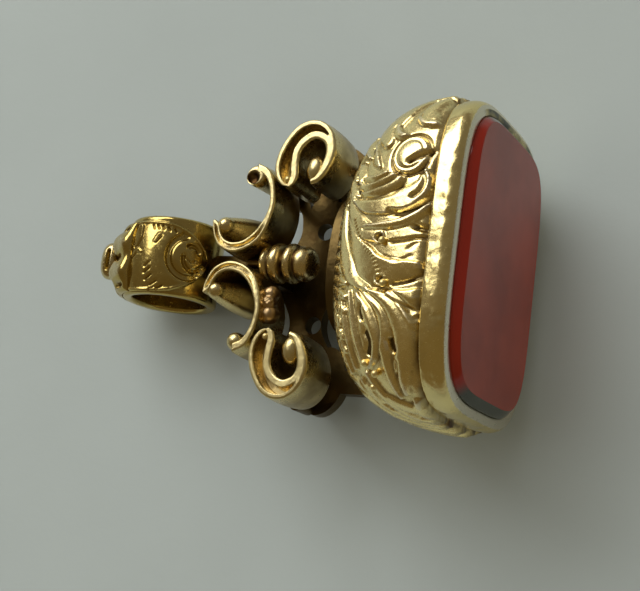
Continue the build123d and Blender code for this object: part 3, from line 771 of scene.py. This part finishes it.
# A scroll's edges, as shares of its half width and half height
C_EDGES = (
    ((0.44, -0.99), (0.7, -0.93), (0.9, -0.72), (1.0, -0.4), (0.97, -0.08), (0.87, 0.22), (0.68, 0.54),
     (0.42, 0.82), (0.1, 0.97), (-0.24, 0.99), (-0.56, 0.87), (-0.83, 0.62), (-0.97, 0.3), (-1.0, -0.02),
     (-0.92, -0.34), (-0.76, -0.64), (-0.54, -0.86), (-0.3, -0.93)),
    ((0.4, -0.99), (0.24, -0.88), (0.17, -0.66), (0.19, -0.44), (0.21, -0.2), (0.2, 0.0), (0.11, 0.19),
     (-0.02, 0.32), (-0.16, 0.4), (-0.3, 0.42), (-0.43, 0.38), (-0.54, 0.3), (-0.61, 0.18), (-0.64, 0.02),
     (-0.62, -0.16), (-0.54, -0.42), (-0.42, -0.64), (-0.28, -0.76)))
S_EDGES = (
    ((0.99, -0.31), (0.95, -0.52), (0.8, -0.76), (0.58, -0.915), (0.19, -1.0), (-0.26, -0.92), (-0.65, -0.71),
     (-0.89, -0.38), (-1.0, -0.01), (-0.98, 0.3), (-0.87, 0.6), (-0.66, 0.86), (-0.3, 1.0)),
    ((0.93, -0.27), (0.77, -0.38), (0.67, -0.57), (0.51, -0.72), (0.23, -0.79), (-0.12, -0.745),
     (-0.44, -0.575), (-0.68, -0.31), (-0.82, -0.02), (-0.81, 0.24), (-0.72, 0.5), (-0.54, 0.7),
     (-0.28, 0.8)))
# Middles of the scrolls' round heads, and where the boss in an S-scroll's volute stands and leans to
C_HEAD = (-0.31, -0.44)
S_HEAD = (-0.25, 0.74)
S_BOSS_FOOT = (0.22, -0.37)
S_BOSS_TIP = (0.66, -0.37)


def scroll_place(place, sign, shares):
    """Shares of a scroll's half width and half height put in the fob's frame, as X and Y."""
    rise, side, width, height = place
    shares = np.asarray(shares, float)
    return np.stack([-(rise + width / 2 * shares[:, 0]), sign * (side + height / 2 * shares[:, 1])], -1)


def ribbon(outer, inner, count, rims, flute, edge_round, bulge, fluted):
    """A scroll whose front face runs between two edges. Its flute fades between two shares of its length."""
    outer = spline(outer, count)
    inner = spline(inner, count)
    middle = (outer + inner) / 2
    reach = inner - outer
    half = np.maximum(np.linalg.norm(reach, axis=1) / 2, 0.02)
    across = reach / (2 * half[:, None])
    depth = FRONT_FACE - BACK_FACE
    arc = np.linspace(0, math.pi / 2, 6)
    wall = np.linspace(0, 1, 9)[1:-1]
    face = np.linspace(-1, 1, 43)[1:-1]
    swell = bulge * 4 * wall * (1 - wall)
    fade = 1 - smooth((np.linspace(0, 1, count) - fluted[0]) / (fluted[1] - fluted[0]))
    rings = []
    for spot, way, wide, share in zip(middle, across, half, fade):
        radius = min(edge_round * (1.5 - 0.5 * share), wide * 0.95)
        side = wide - radius + radius * np.sin(arc)
        lift = radius * (1 - np.cos(arc))
        run = BACK_FACE + radius + wall * (depth - 2 * radius)
        place = face * max(wide - radius, 1e-3)
        trough = max(wide - (rims[0] + rims[1]) / 2, 0.02)
        inset = 1 - np.abs(place - (rims[0] - rims[1]) / 2) / trough
        sunk = share * flute * smooth((trough - 0.05) / 0.3) * smooth(inset / 0.4)
        off = np.concatenate([-wide - swell, -side[::-1], place, side, wide + 0.3 * swell, side[::-1], -side])
        out = np.concatenate([run, FRONT_FACE - lift[::-1], FRONT_FACE - sunk, FRONT_FACE - lift, run[::-1],
                              BACK_FACE + lift[::-1], BACK_FACE + lift])
        rings.append(np.column_stack([spot + off[:, None] * way, out]))
    return skin(rings)


def edge_fields(shape):
    """Wear on what lies near the front face, and painted shade that deepens towards the back."""
    deep = FRONT_FACE - shape[0][:, 2]
    return {"rubbed": smooth((0.3 - deep) / 0.25), "dirt_and_shade_mask": 0.4 * smooth((deep - 0.3) / 1.6)}


def stacked(levels, count):
    """Closed rings stacked outwards: each has its middle, its half sizes and its place."""
    turns = angles(count)
    ring = np.stack([np.cos(turns), np.sin(turns)], -1)
    return skin([np.column_stack([middle + np.multiply(half, ring), np.full(count, out)])
                 for middle, half, out in levels])


def boss(spot, half, head):
    """A round-headed boss on a straight shank."""
    half = np.array(half)
    levels = [(spot, half, BACK_FACE), (spot, half, (BACK_FACE + FRONT_FACE) / 2)]
    for lift in math.pi / 2 * np.linspace(0, 1, 18)[:-1]:
        levels.append((spot, half * math.cos(lift), FRONT_FACE - head + head * math.sin(lift)))
    return stacked(levels, 64)


# The cupped bead's section: a share of its radius, a share of its pit's shift and a place outwards
CUP = ((0.8, 0.0, BACK_FACE), (0.9, 0.0, 1.0), (1.0, 0.0, 2.7), (0.98, 0.0, 3.05), (0.9, 0.05, 3.3),
       (0.8, 0.2, 3.45), (0.7, 0.7, 3.5), (0.62, 0.9, 3.46), (0.54, 1.05, 3.35), (0.44, 1.1, 3.18),
       (0.3, 1.1, 3.08), (0.14, 1.1, 3.04))
CUP_RADIUS = 0.95
CUP_SHIFT = np.array((-0.24, -0.3))


def cupped_bead(spot):
    """A round bead whose head is hollowed on the side of its scroll, and the painted shade that deepens into
    the hollow at each of its points.
    """
    profile = spline(CUP, 60)
    shape = stacked([(spot + CUP_SHIFT * shift, CUP_RADIUS * size, out) for size, shift, out in profile], 64)
    # Painted shade deepening into the pit
    pit_shade = np.repeat(smooth(np.linspace(-5.6, 5.5, 60) / 2), 64)
    return shape, np.append(pit_shade, (0, 1))


def leaning_boss(foot, tip, foot_radius, tip_radius):
    """A cone that leans from a wide foot at the back to a round tip at the front."""
    end = FRONT_FACE - tip_radius
    levels = []
    for share in np.linspace(0, 1, 24):
        radius = foot_radius + (tip_radius - foot_radius) * share + 0.12 * math.sin(math.pi * share)
        levels.append((foot + (tip - foot) * share, radius, BACK_FACE + (end - BACK_FACE) * share))
    for lift in np.linspace(0, math.pi / 2, 16)[1:-1]:
        levels.append((tip, tip_radius * math.cos(lift), end + tip_radius * math.sin(lift)))
    return stacked(levels, 72)


def add_scroll(name, place, sign, edges, count, rims, flute, edge_round, fluted):
    """One scroll of the frame."""
    sizes = bpy.context.scene.fob.sizes
    outer, inner = (scroll_place(place, sign, edge) for edge in edges)
    shape = ribbon(outer, inner, count, rims, flute, edge_round * sizes.rim_round / METRES,
                   sizes.wall_bulge / METRES, fluted)
    add_piece(name, shape, gilt("Scroll Gilding"), edge_fields(shape))


class FOB_OT_c_scrolls(bpy.types.Operator):
    """Large fluted scrolls above and below the axis, with the round heads of their curled ends"""
    bl_idname = "fob.c_scrolls"
    bl_label = "C-scrolls"

    def execute(self, context):
        sizes = context.scene.fob.sizes
        rim = sizes.flute_rim / METRES
        for side, sign in (("upper", 1), ("lower", -1)):
            add_scroll(side + "_c_scroll", C_PLACE, sign, C_EDGES, 220, (rim, 1.5 * rim),
                       sizes.flute_depth / METRES, 1, (0.58, 0.68))
            shape = boss(scroll_place(C_PLACE, sign, (C_HEAD,))[0], (0.86, 1.25), 0.9)
            add_piece(side + "_c_bead", shape, gilt("Scroll Gilding"), edge_fields(shape))
        return {"FINISHED"}


class FOB_OT_s_scrolls(bpy.types.Operator):
    """Smaller scrolls beside the loop, with their bulbs and the bosses in their volutes"""
    bl_idname = "fob.s_scrolls"
    bl_label = "S-scrolls"

    def execute(self, context):
        for side, sign in (("upper", 1), ("lower", -1)):
            add_scroll(side + "_s_scroll", S_PLACE, sign, S_EDGES, 180, (0.2, 0.2), 0.7, 0.6, (0.48, 0.6))
            spot, foot, tip = scroll_place(S_PLACE, sign, (S_HEAD, S_BOSS_FOOT, S_BOSS_TIP))
            shape, pit_shade = cupped_bead(spot) if side == "upper" else (boss(spot, (0.76, 0.76), 0.7), 0)
            fields = edge_fields(shape)
            fields["dirt_and_shade_mask"] = np.maximum(fields["dirt_and_shade_mask"], pit_shade)
            add_piece(side + "_s_bead", shape, gilt("Scroll Gilding"), fields)
            shape = leaning_boss(foot, tip, 1.5, 0.75)
            # Painted shade that deepens down the boss's cone towards the back
            deep = FRONT_FACE - shape[0][:, 2]
            fields = {"dirt_and_shade_mask": 0.5 * smooth((deep - 1.4) / 2.4)}
            add_piece(side + "_volute_boss", shape, gilt("Boss Gilding"), fields)
        return {"FINISHED"}


# The bud's outline, as a rise and a radius, and the painted shade in its grooves, as a rise and a width
BUD_OUTLINE = (
    (15.3, 0.02), (15.33, 0.5), (15.5, 1.0), (15.8, 1.3), (16.2, 1.46), (16.6, 1.44), (16.85, 1.32),
    (16.98, 1.42), (17.15, 1.64), (17.4, 1.7), (17.66, 1.62), (17.84, 1.4), (17.96, 1.1), (18.06, 1.02),
    (18.16, 1.14), (18.28, 1.48), (18.45, 1.66), (18.72, 1.7), (19.0, 1.64), (19.2, 1.45), (19.34, 1.3),
    (19.46, 1.38), (19.6, 1.48), (19.76, 1.5), (19.96, 1.42), (20.1, 1.1), (20.17, 0.5))
BUD_GROOVE_SHADE = ((16.87, 0.12), (18.06, 0.2), (19.34, 0.12))


class FOB_OT_bud(bpy.types.Operator):
    """Turned bud in the middle of the frame"""
    bl_idname = "fob.bud"
    bl_label = "Ribbed Bud"

    def execute(self, context):
        turns = angles(96)
        rise, radius = spline(BUD_OUTLINE, 150).T[..., None]
        middle = (FRONT_FACE + BACK_FACE) / 2
        rings = triples(-rise, radius * np.cos(turns), middle + radius * np.sin(turns))
        # Painted shade in the bud's grooves
        groove_shade = sum(bell((rise - place) / width) for place, width in BUD_GROOVE_SHADE)
        add_piece("ribbed_bud", skin(rings), gilt("Boss Gilding"), {"dirt_and_shade_mask": groove_shade + 0 * turns})
        return {"FINISHED"}


# The lump's three blobs, as a middle and a radius
BLOBS = (((-18.5, -2.9, 2.18), 0.72), ((-18.41, -3.75, 2.48), 0.66), ((-18.41, -4.6, 2.18), 0.82))


class FOB_OT_solder(bpy.types.Operator):
    """Lump of solder beside the lower scroll"""
    bl_idname = "fob.solder"
    bl_label = "Solder Lump"

    def execute(self, context):
        heart = np.array(BLOBS[1][0])
        turns = angles(96)
        lifts = np.linspace(-math.pi / 2, math.pi / 2, 49)[1:-1, None]
        ways = triples(np.cos(lifts) * np.cos(turns), np.cos(lifts) * np.sin(turns), np.sin(lifts))
        reach = np.zeros(ways.shape[:2])
        for centre, radius in BLOBS:
            toward = ((centre - heart) * ways).sum(-1)
            inside = toward ** 2 - ((centre - heart) ** 2).sum() + radius ** 2
            reach = np.maximum(reach, toward + np.sqrt(np.maximum(inside, 0)))
        up, across, out = np.moveaxis(ways, -1, 0)
        lumps = np.sin(9 * up + 3 * out) * np.sin(8 * across + 1) * np.cos(7 * out)
        reach = blurred(reach, 2) * (1 + 0.05 * lumps)
        add_piece("solder_lump", skin(heart + ways * reach[..., None]), gilt("Solder"),
                  name="solder_dressed")
        return {"FINISHED"}


# Loop

def loop_point(turn, side, radius):
    """A point round the loop: turn 0 faces the front and grows towards the stone."""
    return triples(-LOOP_RISE + radius * np.sin(turn), side, radius * np.cos(turn))


def finish_tree(tree, given, result, geometry):
    """Ends a tree with real geometry that has its material."""
    real = add_node(tree, "GeometryNodeRealizeInstances", {"Geometry": geometry}).outputs["Geometry"]
    painted = add_node(tree, "GeometryNodeSetMaterial", {"Geometry": real, "Material": given["Material"]})
    feed(tree, result, {"Geometry": painted.outputs["Geometry"]})
    return tree


def grow(name, nodes, base, tree, values):
    """Adds the plain mesh that a tree makes of a base mesh as a piece."""
    holder = bpy.data.objects.new("holder", base)
    bpy.context.scene.collection.objects.link(holder)
    modifier = holder.modifiers.new("tree", "NODES")
    modifier.node_group = tree
    for item in tree.interface.items_tree:
        if item.in_out == "INPUT" and item.name in values:
            modifier[item.identifier] = values[item.name]
    holder.update_tag()
    mesh = bpy.data.meshes.new_from_object(holder.evaluated_get(bpy.context.evaluated_depsgraph_get()))
    bpy.data.objects.remove(holder)
    mesh.shade_smooth()
    mesh.name = name
    put(name, mesh, nodes)


def band_tree():
    """A rounded strip bent into a ring round the Y axis."""
    tree, given, result = new_tree(
        "Loop Band", "GeometryNodeTree",
        {"Geometry": "Geometry", "Place": "Vector", "Radius": "Float", "Wall": "Float", "Width": "Float",
         "Round": "Float", "Material": "Material"}, {"Geometry": "Geometry"})
    given = given.outputs
    middle = calc(tree, "MULTIPLY_ADD", given["Wall"], -0.5, given["Radius"])
    ring = add_node(tree, "GeometryNodeCurvePrimitiveCircle", {"Resolution": 180, "Radius": middle})
    strip = add_node(tree, "GeometryNodeCurvePrimitiveQuadrilateral",
                     {"Width": given["Wall"], "Height": given["Width"]})
    soft = add_node(tree, "GeometryNodeFilletCurve",
                    {"Curve": strip.outputs["Curve"], "Count": 8, "Radius": given["Round"]}, mode="POLY")
    bent = add_node(tree, "GeometryNodeCurveToMesh",
                    {"Curve": ring.outputs["Curve"], "Profile Curve": soft.outputs["Curve"]})
    stand = add_node(tree, "GeometryNodeTransform",
                     {"Geometry": bent.outputs["Mesh"], "Translation": given["Place"],
                      "Rotation": (math.pi / 2, 0, 0)})
    return finish_tree(tree, given, result, stand.outputs["Geometry"])


def pin_tree():
    """A small ball on each point of a mesh."""
    tree, given, result = new_tree(
        "Pins", "GeometryNodeTree", {"Geometry": "Geometry", "Radius": "Float", "Material": "Material"},
        {"Geometry": "Geometry"})
    given = given.outputs
    inputs = {"Segments": 16, "Rings": 10, "Radius": given["Radius"]}
    ball = add_node(tree, "GeometryNodeMeshUVSphere", inputs).outputs["Mesh"]
    spread = add_node(tree, "GeometryNodeInstanceOnPoints", {"Points": given["Geometry"], "Instance": ball})
    return finish_tree(tree, given, result, spread.outputs["Instances"])


class FOB_OT_pins(bpy.types.Operator):
    """Bright pin heads in the dome's eyelets and at the foot of the C-scrolls' flutes"""
    bl_idname = "fob.pins"
    bl_label = "Pins"

    def execute(self, context):
        radius = context.scene.fob.sizes.pin_radius / METRES
        places = []
        for place in [np.add(eye, PIN_OFFSET) for eye in EYELETS] + list(LEAF_PINS):
            spot = dome_point(*place)
            inwards = HEART - spot
            inwards *= radius / np.linalg.norm(inwards)
            places += [spot + 0.2 * inwards, (spot + inwards) * (1, -1, -1)]
        for sign in (1, -1):
            places.append((*scroll_place(C_PLACE, sign, (FLUTE_PIN,))[0], FRONT_FACE - 0.25))
        base = bpy.data.meshes.new("pin places")
        base.from_pydata(laid(places).tolist(), [], [])
        grow("pins", [], base, pin_tree(), {"Radius": radius * METRES, "Material": gilt("Pin Gilding")})
        return {"FINISHED"}


class FOB_OT_loop(bpy.types.Operator):
    """Broad smooth band that the chain passes through"""
    bl_idname = "fob.loop"
    bl_label = "Loop"

    def execute(self, context):
        values = {"Place": laid(((-LOOP_RISE, 0, 0),))[0].tolist(), "Radius": LOOP_RADIUS * METRES,
                  "Wall": LOOP_WALL * METRES, "Width": LOOP_WIDTH * METRES, "Round": 0.4 * LOOP_WALL * METRES,
                  "Material": gilt("Loop Gilding")}
        grow("loop_band", ["suspension_loop"], bpy.data.meshes.new("band"), band_tree(), values)
        return {"FINISHED"}


# A shield's outline and chasing, from its crest end to its rounded end: turns about the loop's axis in
# degrees from the shield's middle, and places across the loop in millimetres.
SHIELD_EDGE = ((-48, 3.1), (-40, 3.2), (-22, 3.2), (-2, 3.12), (10, 2.95), (20, 2.65), (30, 2.25), (38, 1.8),
               (44, 1.3), (48, 0.8), (50, 0.3))
SHIELD_LEAVES = (
    (((-40, 1.0), (-38, 1.7), (-36, 2.5)), (0.3, 0.5, 0.3), -0.02, 0.1, 0.0),
    (((-44, 0.0), (-38, 0.45), (-31, 0.3)), (0.2, 0.28, 0.14), -0.02, 0.1, 0.05),
    (((-14, 1.25), (-10, 1.75)), (0.16, 0.2), 0.02, 0.12, 0.0),
)
SHIELD_CUTS = (
    (((-21, 2.75), (-17.5, 2.3)), 0.08, 0.16),
    (((-15, 2.75), (-11.5, 2.3)), 0.08, 0.16),
    (((-9, 2.72), (-5.5, 2.28)), 0.08, 0.16),
    (((-2, 2.62), (1.5, 2.2)), 0.08, 0.16),
    (((5.5, 2.5), (9, 2.1)), 0.08, 0.14),
    (((16, 2.3), (19, 1.9)), 0.08, 0.14),
    (((-23, -1.0), (-17, -0.55)), 0.08, 0.16),
    (((-23, -1.55), (-15.5, -1.05)), 0.09, 0.18),
    (((-21, -2.15), (-13, -1.6)), 0.09, 0.18),
    (((-14, -2.6), (-6, -2.15)), 0.09, 0.18),
    (((-6, -2.9), (2, -2.5)), 0.09, 0.16),
    (((-15, -3.0), (-9, -2.75)), 0.08, 0.14),
)
SNAIL_PLACE = (29, 0.25)
SNAIL_RADIUS = 1.9
# The snail's grooves: stops as an angle in degrees and a radius in millimetres, then half width and depth.
SNAIL_CUTS = (
    (((100, 1.75), (135, 1.95), (165, 2.05), (200, 2.05), (235, 1.95), (270, 1.8), (305, 1.7)), 0.27, 0.38),
    (((30, 0.75), (60, 0.9), (95, 0.95), (120, 0.85)), 0.2, 0.3),
    (((170, 0.6), (215, 0.75), (255, 1.0), (290, 1.25), (325, 1.35)), 0.18, 0.3),
    (((200, 0.42), (240, 0.4), (290, 0.42), (330, 0.5)), 0.09, 0.16),
)
# The crest's slits, as a place across the loop and a turn
CREST_SLITS = ((-0.05, -21), (2.5, -28), (-2.5, -28))


def shield_relief(run, side, edge):
    """Heights of a shield's chasing at places given in millimetres round and across the loop."""
    points = triples(run.ravel(), side.ravel(), 1)

    def line(stops, count=24):
        turn, across = spline(stops, count).T
        return triples(np.radians(turn) * SHIELD_RADIUS, across, 1)

    bow = (points[:, 1] / 3.2) ** 2
    middle = line((SNAIL_PLACE, SNAIL_PLACE), 3)[0]
    off = np.linalg.norm(points - middle, axis=1)
    mask = smooth((SNAIL_RADIUS - off) / 0.2 + 0.5)
    snail_top = 0.05 - 0.16 * (off / SNAIL_RADIUS) ** 2 - 0.2 * bow
    height = (-0.05 - 0.27 * bow) * (1 - mask) + snail_top * mask
    for stops, *sizes in SHIELD_LEAVES:
        leaf(height, points, line(stops), *sizes)
    for stops, *sizes in SHIELD_CUTS:
        cut(height, points, line(stops), *sizes)
    for stops, *sizes in SNAIL_CUTS:
        turn, reach = spline(stops, 40).T
        turn = np.radians(turn)
        cut(height, points, middle + triples(reach * np.cos(turn), reach * np.sin(turn), 0), *sizes)
    height += 0.16 * bell(off / 0.2)
    inset = edge - np.abs(side)
    height = height.reshape(run.shape) + 0.08 * bell((inset - 0.22) / 0.12)
    return height - 0.3 * np.exp(-np.maximum(inset, 0) / 0.07)


def add_cap(node, turn, side, reach, dirt_and_shade_mask, rubbed, name=None):
    """A piece laid on the loop: its top has a reach and fields, and its underside lies on the band."""
    rings = np.hstack([loop_point(turn, side + SHIELD_SIDE, reach),
                       loop_point(turn, side[:, ::-1] + SHIELD_SIDE, UNDERSIDE)])
    fields = {"dirt_and_shade_mask": np.hstack([dirt_and_shade_mask, 0 * dirt_and_shade_mask]), "rubbed": np.hstack([rubbed, 0 * rubbed])}
    add_piece(node, skin(rings), gilt("Loop Gilding"), fields, name=name)


class FOB_OT_shields(bpy.types.Operator):
    """Chased shields on the front and the back of the loop"""
    bl_idname = "fob.shields"
    bl_label = "Shields"

    def execute(self, context):
        turns = np.radians(np.linspace(-48, 50, 190))[:, None]
        share = np.linspace(-1, 1, 150)
        edge = np.interp(np.degrees(turns), *zip(*SHIELD_EDGE))
        side = edge * (np.sin(share * math.pi / 2) * 0.35 + share * 0.65)
        end = np.minimum(turns - turns[0], turns[-1] - turns) * SHIELD_RADIUS
        height = shield_relief(turns * SHIELD_RADIUS + 0 * side, side, edge)
        height = np.minimum(height, 0) - 0.25 * np.exp(-end / 0.06)
        reach = SHIELD_RADIUS + np.maximum(height, -0.38)
        # Dirt and painted shade in the chasing's hollows, wear on its highs
        fields = wear_fields(height, 8, 0.01, (0.1, 0.1))
        add_cap("front_shield", LOOP_LEAN + turns, side, reach, *fields)
        add_cap("rear_shield", LOOP_LEAN + math.pi - turns, side, reach, *fields)
        return {"FINISHED"}


class FOB_OT_crest(bpy.types.Operator):
    """Lobed cap on the loop's outer end, with its slotted roll"""
    bl_idname = "fob.crest"
    bl_label = "Crest"

    def execute(self, context):
        turns = np.linspace(-1, 1, 110)[:, None]
        share = np.sin(np.linspace(-1, 1, 120) * math.pi / 2)
        around = np.sin(turns * math.pi / 2) * CREST_HALF_TURN
        side = share * CREST_HALF_SIDE + 0 * turns
        swell = (1 - np.abs(turns) ** 3.2) ** 0.5 * (1 - np.abs(share) ** 4) ** 0.45
        lobes = 0.16 * np.cos(2 * math.pi * (side - 1.25) / 2.6) - 0.1
        height = CREST_RADIUS - LOOP_RADIUS - 0.3 + lobes
        furrow = bell((np.abs(around) - 11) / 3.2)
        # Painted shade in the furrows beside the ridge and in the slits
        dirt_and_shade_mask = 0.8 * furrow + 0 * side
        for place, turn in CREST_SLITS:
            for sense in (1, -1):
                pit = bell((side - place) / 0.2) * np.exp(-((around - sense * turn) / 8.5) ** 4)
                height = height - 0.75 * pit
                dirt_and_shade_mask = np.maximum(dirt_and_shade_mask, pit)
        ridge = bell((np.abs(around) - 19) / 5) * smooth((2.5 - np.abs(side)) / 0.8)
        height = np.maximum(swell * (height - 0.35 * furrow + 0.22 * ridge), 0)
        top = LOOP_RADIUS + 0.02 + np.minimum(height, CREST_RADIUS - LOOP_RADIUS)
        add_cap("loop_crest", CREST_TURN + np.radians(around), side, top, dirt_and_shade_mask,
                smooth((height - 0.8) / 0.5), "crest_dressed")
        self.knob()
        return {"FINISHED"}

    def knob(self):
        """The roll on the crest, slotted like a bean on the front and the back."""
        heart = loop_point(CREST_TURN, SHIELD_SIDE, CREST_RADIUS)
        turns = angles(120)
        along = np.sin(np.linspace(-1, 1, 60)[1:-1, None] * math.pi / 2)
        slot = 0
        for middle in (0.12, 2 * LOOP_LEAN - math.pi - 0.12):
            gap = np.angle(np.exp(1j * (turns - middle)))
            slot = np.maximum(slot, bell(gap * KNOB_RADIUS / 0.15))
        slot = slot * smooth((0.62 - np.abs(along)) / 0.2)
        reach = KNOB_RADIUS * (1 - np.abs(along) ** 2.6) ** 0.42 - 0.42 * slot
        rings = loop_point(turns, along * KNOB_WIDTH / 2, reach) + heart + (LOOP_RISE, 0, 0)
        # Painted shade in the slots; the rest is worn
        fields = {"dirt_and_shade_mask": np.minimum(1, 1.3 * slot), "rubbed": 0.6 * smooth((0.2 - slot) / 0.2)}
        add_piece("crest_knob", skin(rings), gilt("Loop Gilding"), fields)


# Stage

# A lamp is its name, azimuth, elevation, distance, size, power, colour and whether reflections show it.
LAMPS = (
    ("window", 128, 36, 0.62, (0.5, 0.38), 2.5, (1.0, 0.99, 0.965), True),
    ("window haze", 142, 46, 0.65, (1.3, 0.9), 2.9, (1.0, 0.99, 0.965), False),
    ("near wall", -50, 42, 0.8, (1.0, 0.8), 1.1, (1.0, 0.97, 0.92), False),
)
TABLE_REACH = 2.0


class FOB_OT_stage(bpy.types.Operator):
    """Paper table, soft window light, dim room and camera"""
    bl_idname = "fob.stage"
    bl_label = "Stage"

    def execute(self, context):
        scene = context.scene
        scene.view_settings.view_transform = "Standard"
        mesh = bpy.data.meshes.new("table")
        corners = ((-1, -1), (1, -1), (1, 1), (-1, 1))
        mesh.from_pydata([(TABLE_REACH * x, TABLE_REACH * y, 0) for x, y in corners], [], [(0, 1, 2, 3)])
        mesh.materials.append(table_paper())
        table = bpy.data.objects.new("table", mesh)
        scene.collection.objects.link(table)
        lens = bpy.data.cameras.new("camera")
        lens.lens = 78.75
        lens.sensor_width = 36
        lens.clip_start = 0.005
        lens.clip_end = 10
        camera = bpy.data.objects.new("camera", lens)
        camera.location = (0.035597, -0.027013, 0.115043)
        camera.rotation_euler = (0.25359, 0.27174, 0.136331)
        scene.collection.objects.link(camera)
        scene.camera = camera
        for lamp in LAMPS:
            self.lamp(scene, *lamp)
        self.room(scene)
        return {"FINISHED"}

    def lamp(self, scene, name, azimuth, elevation, distance, size, power, tone, glossy):
        """A soft box that faces the fob."""
        light = bpy.data.lights.new(name, "AREA")
        light.shape = "RECTANGLE"
        light.size, light.size_y = size
        light.energy = power
        light.color = tone
        holder = bpy.data.objects.new(name, light)
        around, above = math.radians(azimuth), math.radians(elevation)
        holder.location = (distance * math.cos(around) * math.cos(above),
                           distance * math.sin(around) * math.cos(above), distance * math.sin(above))
        holder.rotation_euler = (math.pi / 2 - above, 0, around + math.pi / 2)
        holder.visible_camera = False
        holder.visible_glossy = glossy
        scene.collection.objects.link(holder)

    def room(self, scene):
        """A dim warm room, darkest on the viewer's side, with a pale haze at the horizon."""
        scene.world = bpy.data.worlds.new("room")
        scene.world.use_nodes = True
        tree = scene.world.node_tree
        place = add_node(tree, "ShaderNodeTexCoord").outputs["Generated"]
        way = add_node(tree, "ShaderNodeSeparateXYZ", {"Vector": place}).outputs
        wall = mix(tree, ramp(tree, way["Y"], -0.2, 0.45), (0.155, 0.115, 0.055, 1), (0.17, 0.15, 0.12, 1))
        sky = mix(tree, ramp(tree, way["Z"], 0.0, 0.22), (0.36, 0.375, 0.35, 1), wall)
        feed(tree, tree.nodes["Background"], {"Color": sky})


PARTS = ("stage", "stone", "bezel", "dome", "pins", "c_scrolls", "s_scrolls", "bud", "solder", "loop",
         "shields", "crest")
# CAD nodes that stay as they are, and only get the dark bronze that paints the shade they lie in
FRAME_NODES = ("back_plate", "spacer_posts", "loop_neck", "bud_pin", "crown_plate", "crown_rim",
               "stone_seat_ledge", "setting_cement")


class FOB_PT_panel(bpy.types.Panel):
    """Lists the fob's pieces"""
    bl_idname = "FOB_PT_panel"
    bl_label = "Pocket Watch Fob"
    bl_space_type = "VIEW_3D"
    bl_region_type = "UI"
    bl_category = "Fob"

    def draw(self, context):
        layout = self.layout
        settings = context.scene.fob
        for group in (settings.sizes, settings.colours):
            box = layout.box()
            for name in group.__annotations__:
                box.prop(group, name)
        for part in PARTS:
            layout.operator("fob." + part)


CLASSES = (FobSizes, FobColours, FobSettings, FOB_OT_stage, FOB_OT_stone, FOB_OT_bezel, FOB_OT_dome,
           FOB_OT_pins, FOB_OT_c_scrolls, FOB_OT_s_scrolls, FOB_OT_bud, FOB_OT_solder, FOB_OT_loop,
           FOB_OT_shields, FOB_OT_crest, FOB_PT_panel)


def register():
    for item in CLASSES:
        bpy.utils.register_class(item)
    bpy.types.Scene.fob = PointerProperty(type=FobSettings)


def unregister():
    del bpy.types.Scene.fob
    for item in reversed(CLASSES):
        bpy.utils.unregister_class(item)


def main():
    register()
    for part in PARTS:
        getattr(bpy.ops.fob, part)()
    # The frame's CAD nodes get the dark bronze of painted shade
    for node in FRAME_NODES:
        materials = frame["nodes"][node].data.materials
        materials.clear()
        materials.append(gilt("Frame Painted Shade"))


if __name__ == "__main__":
    main()
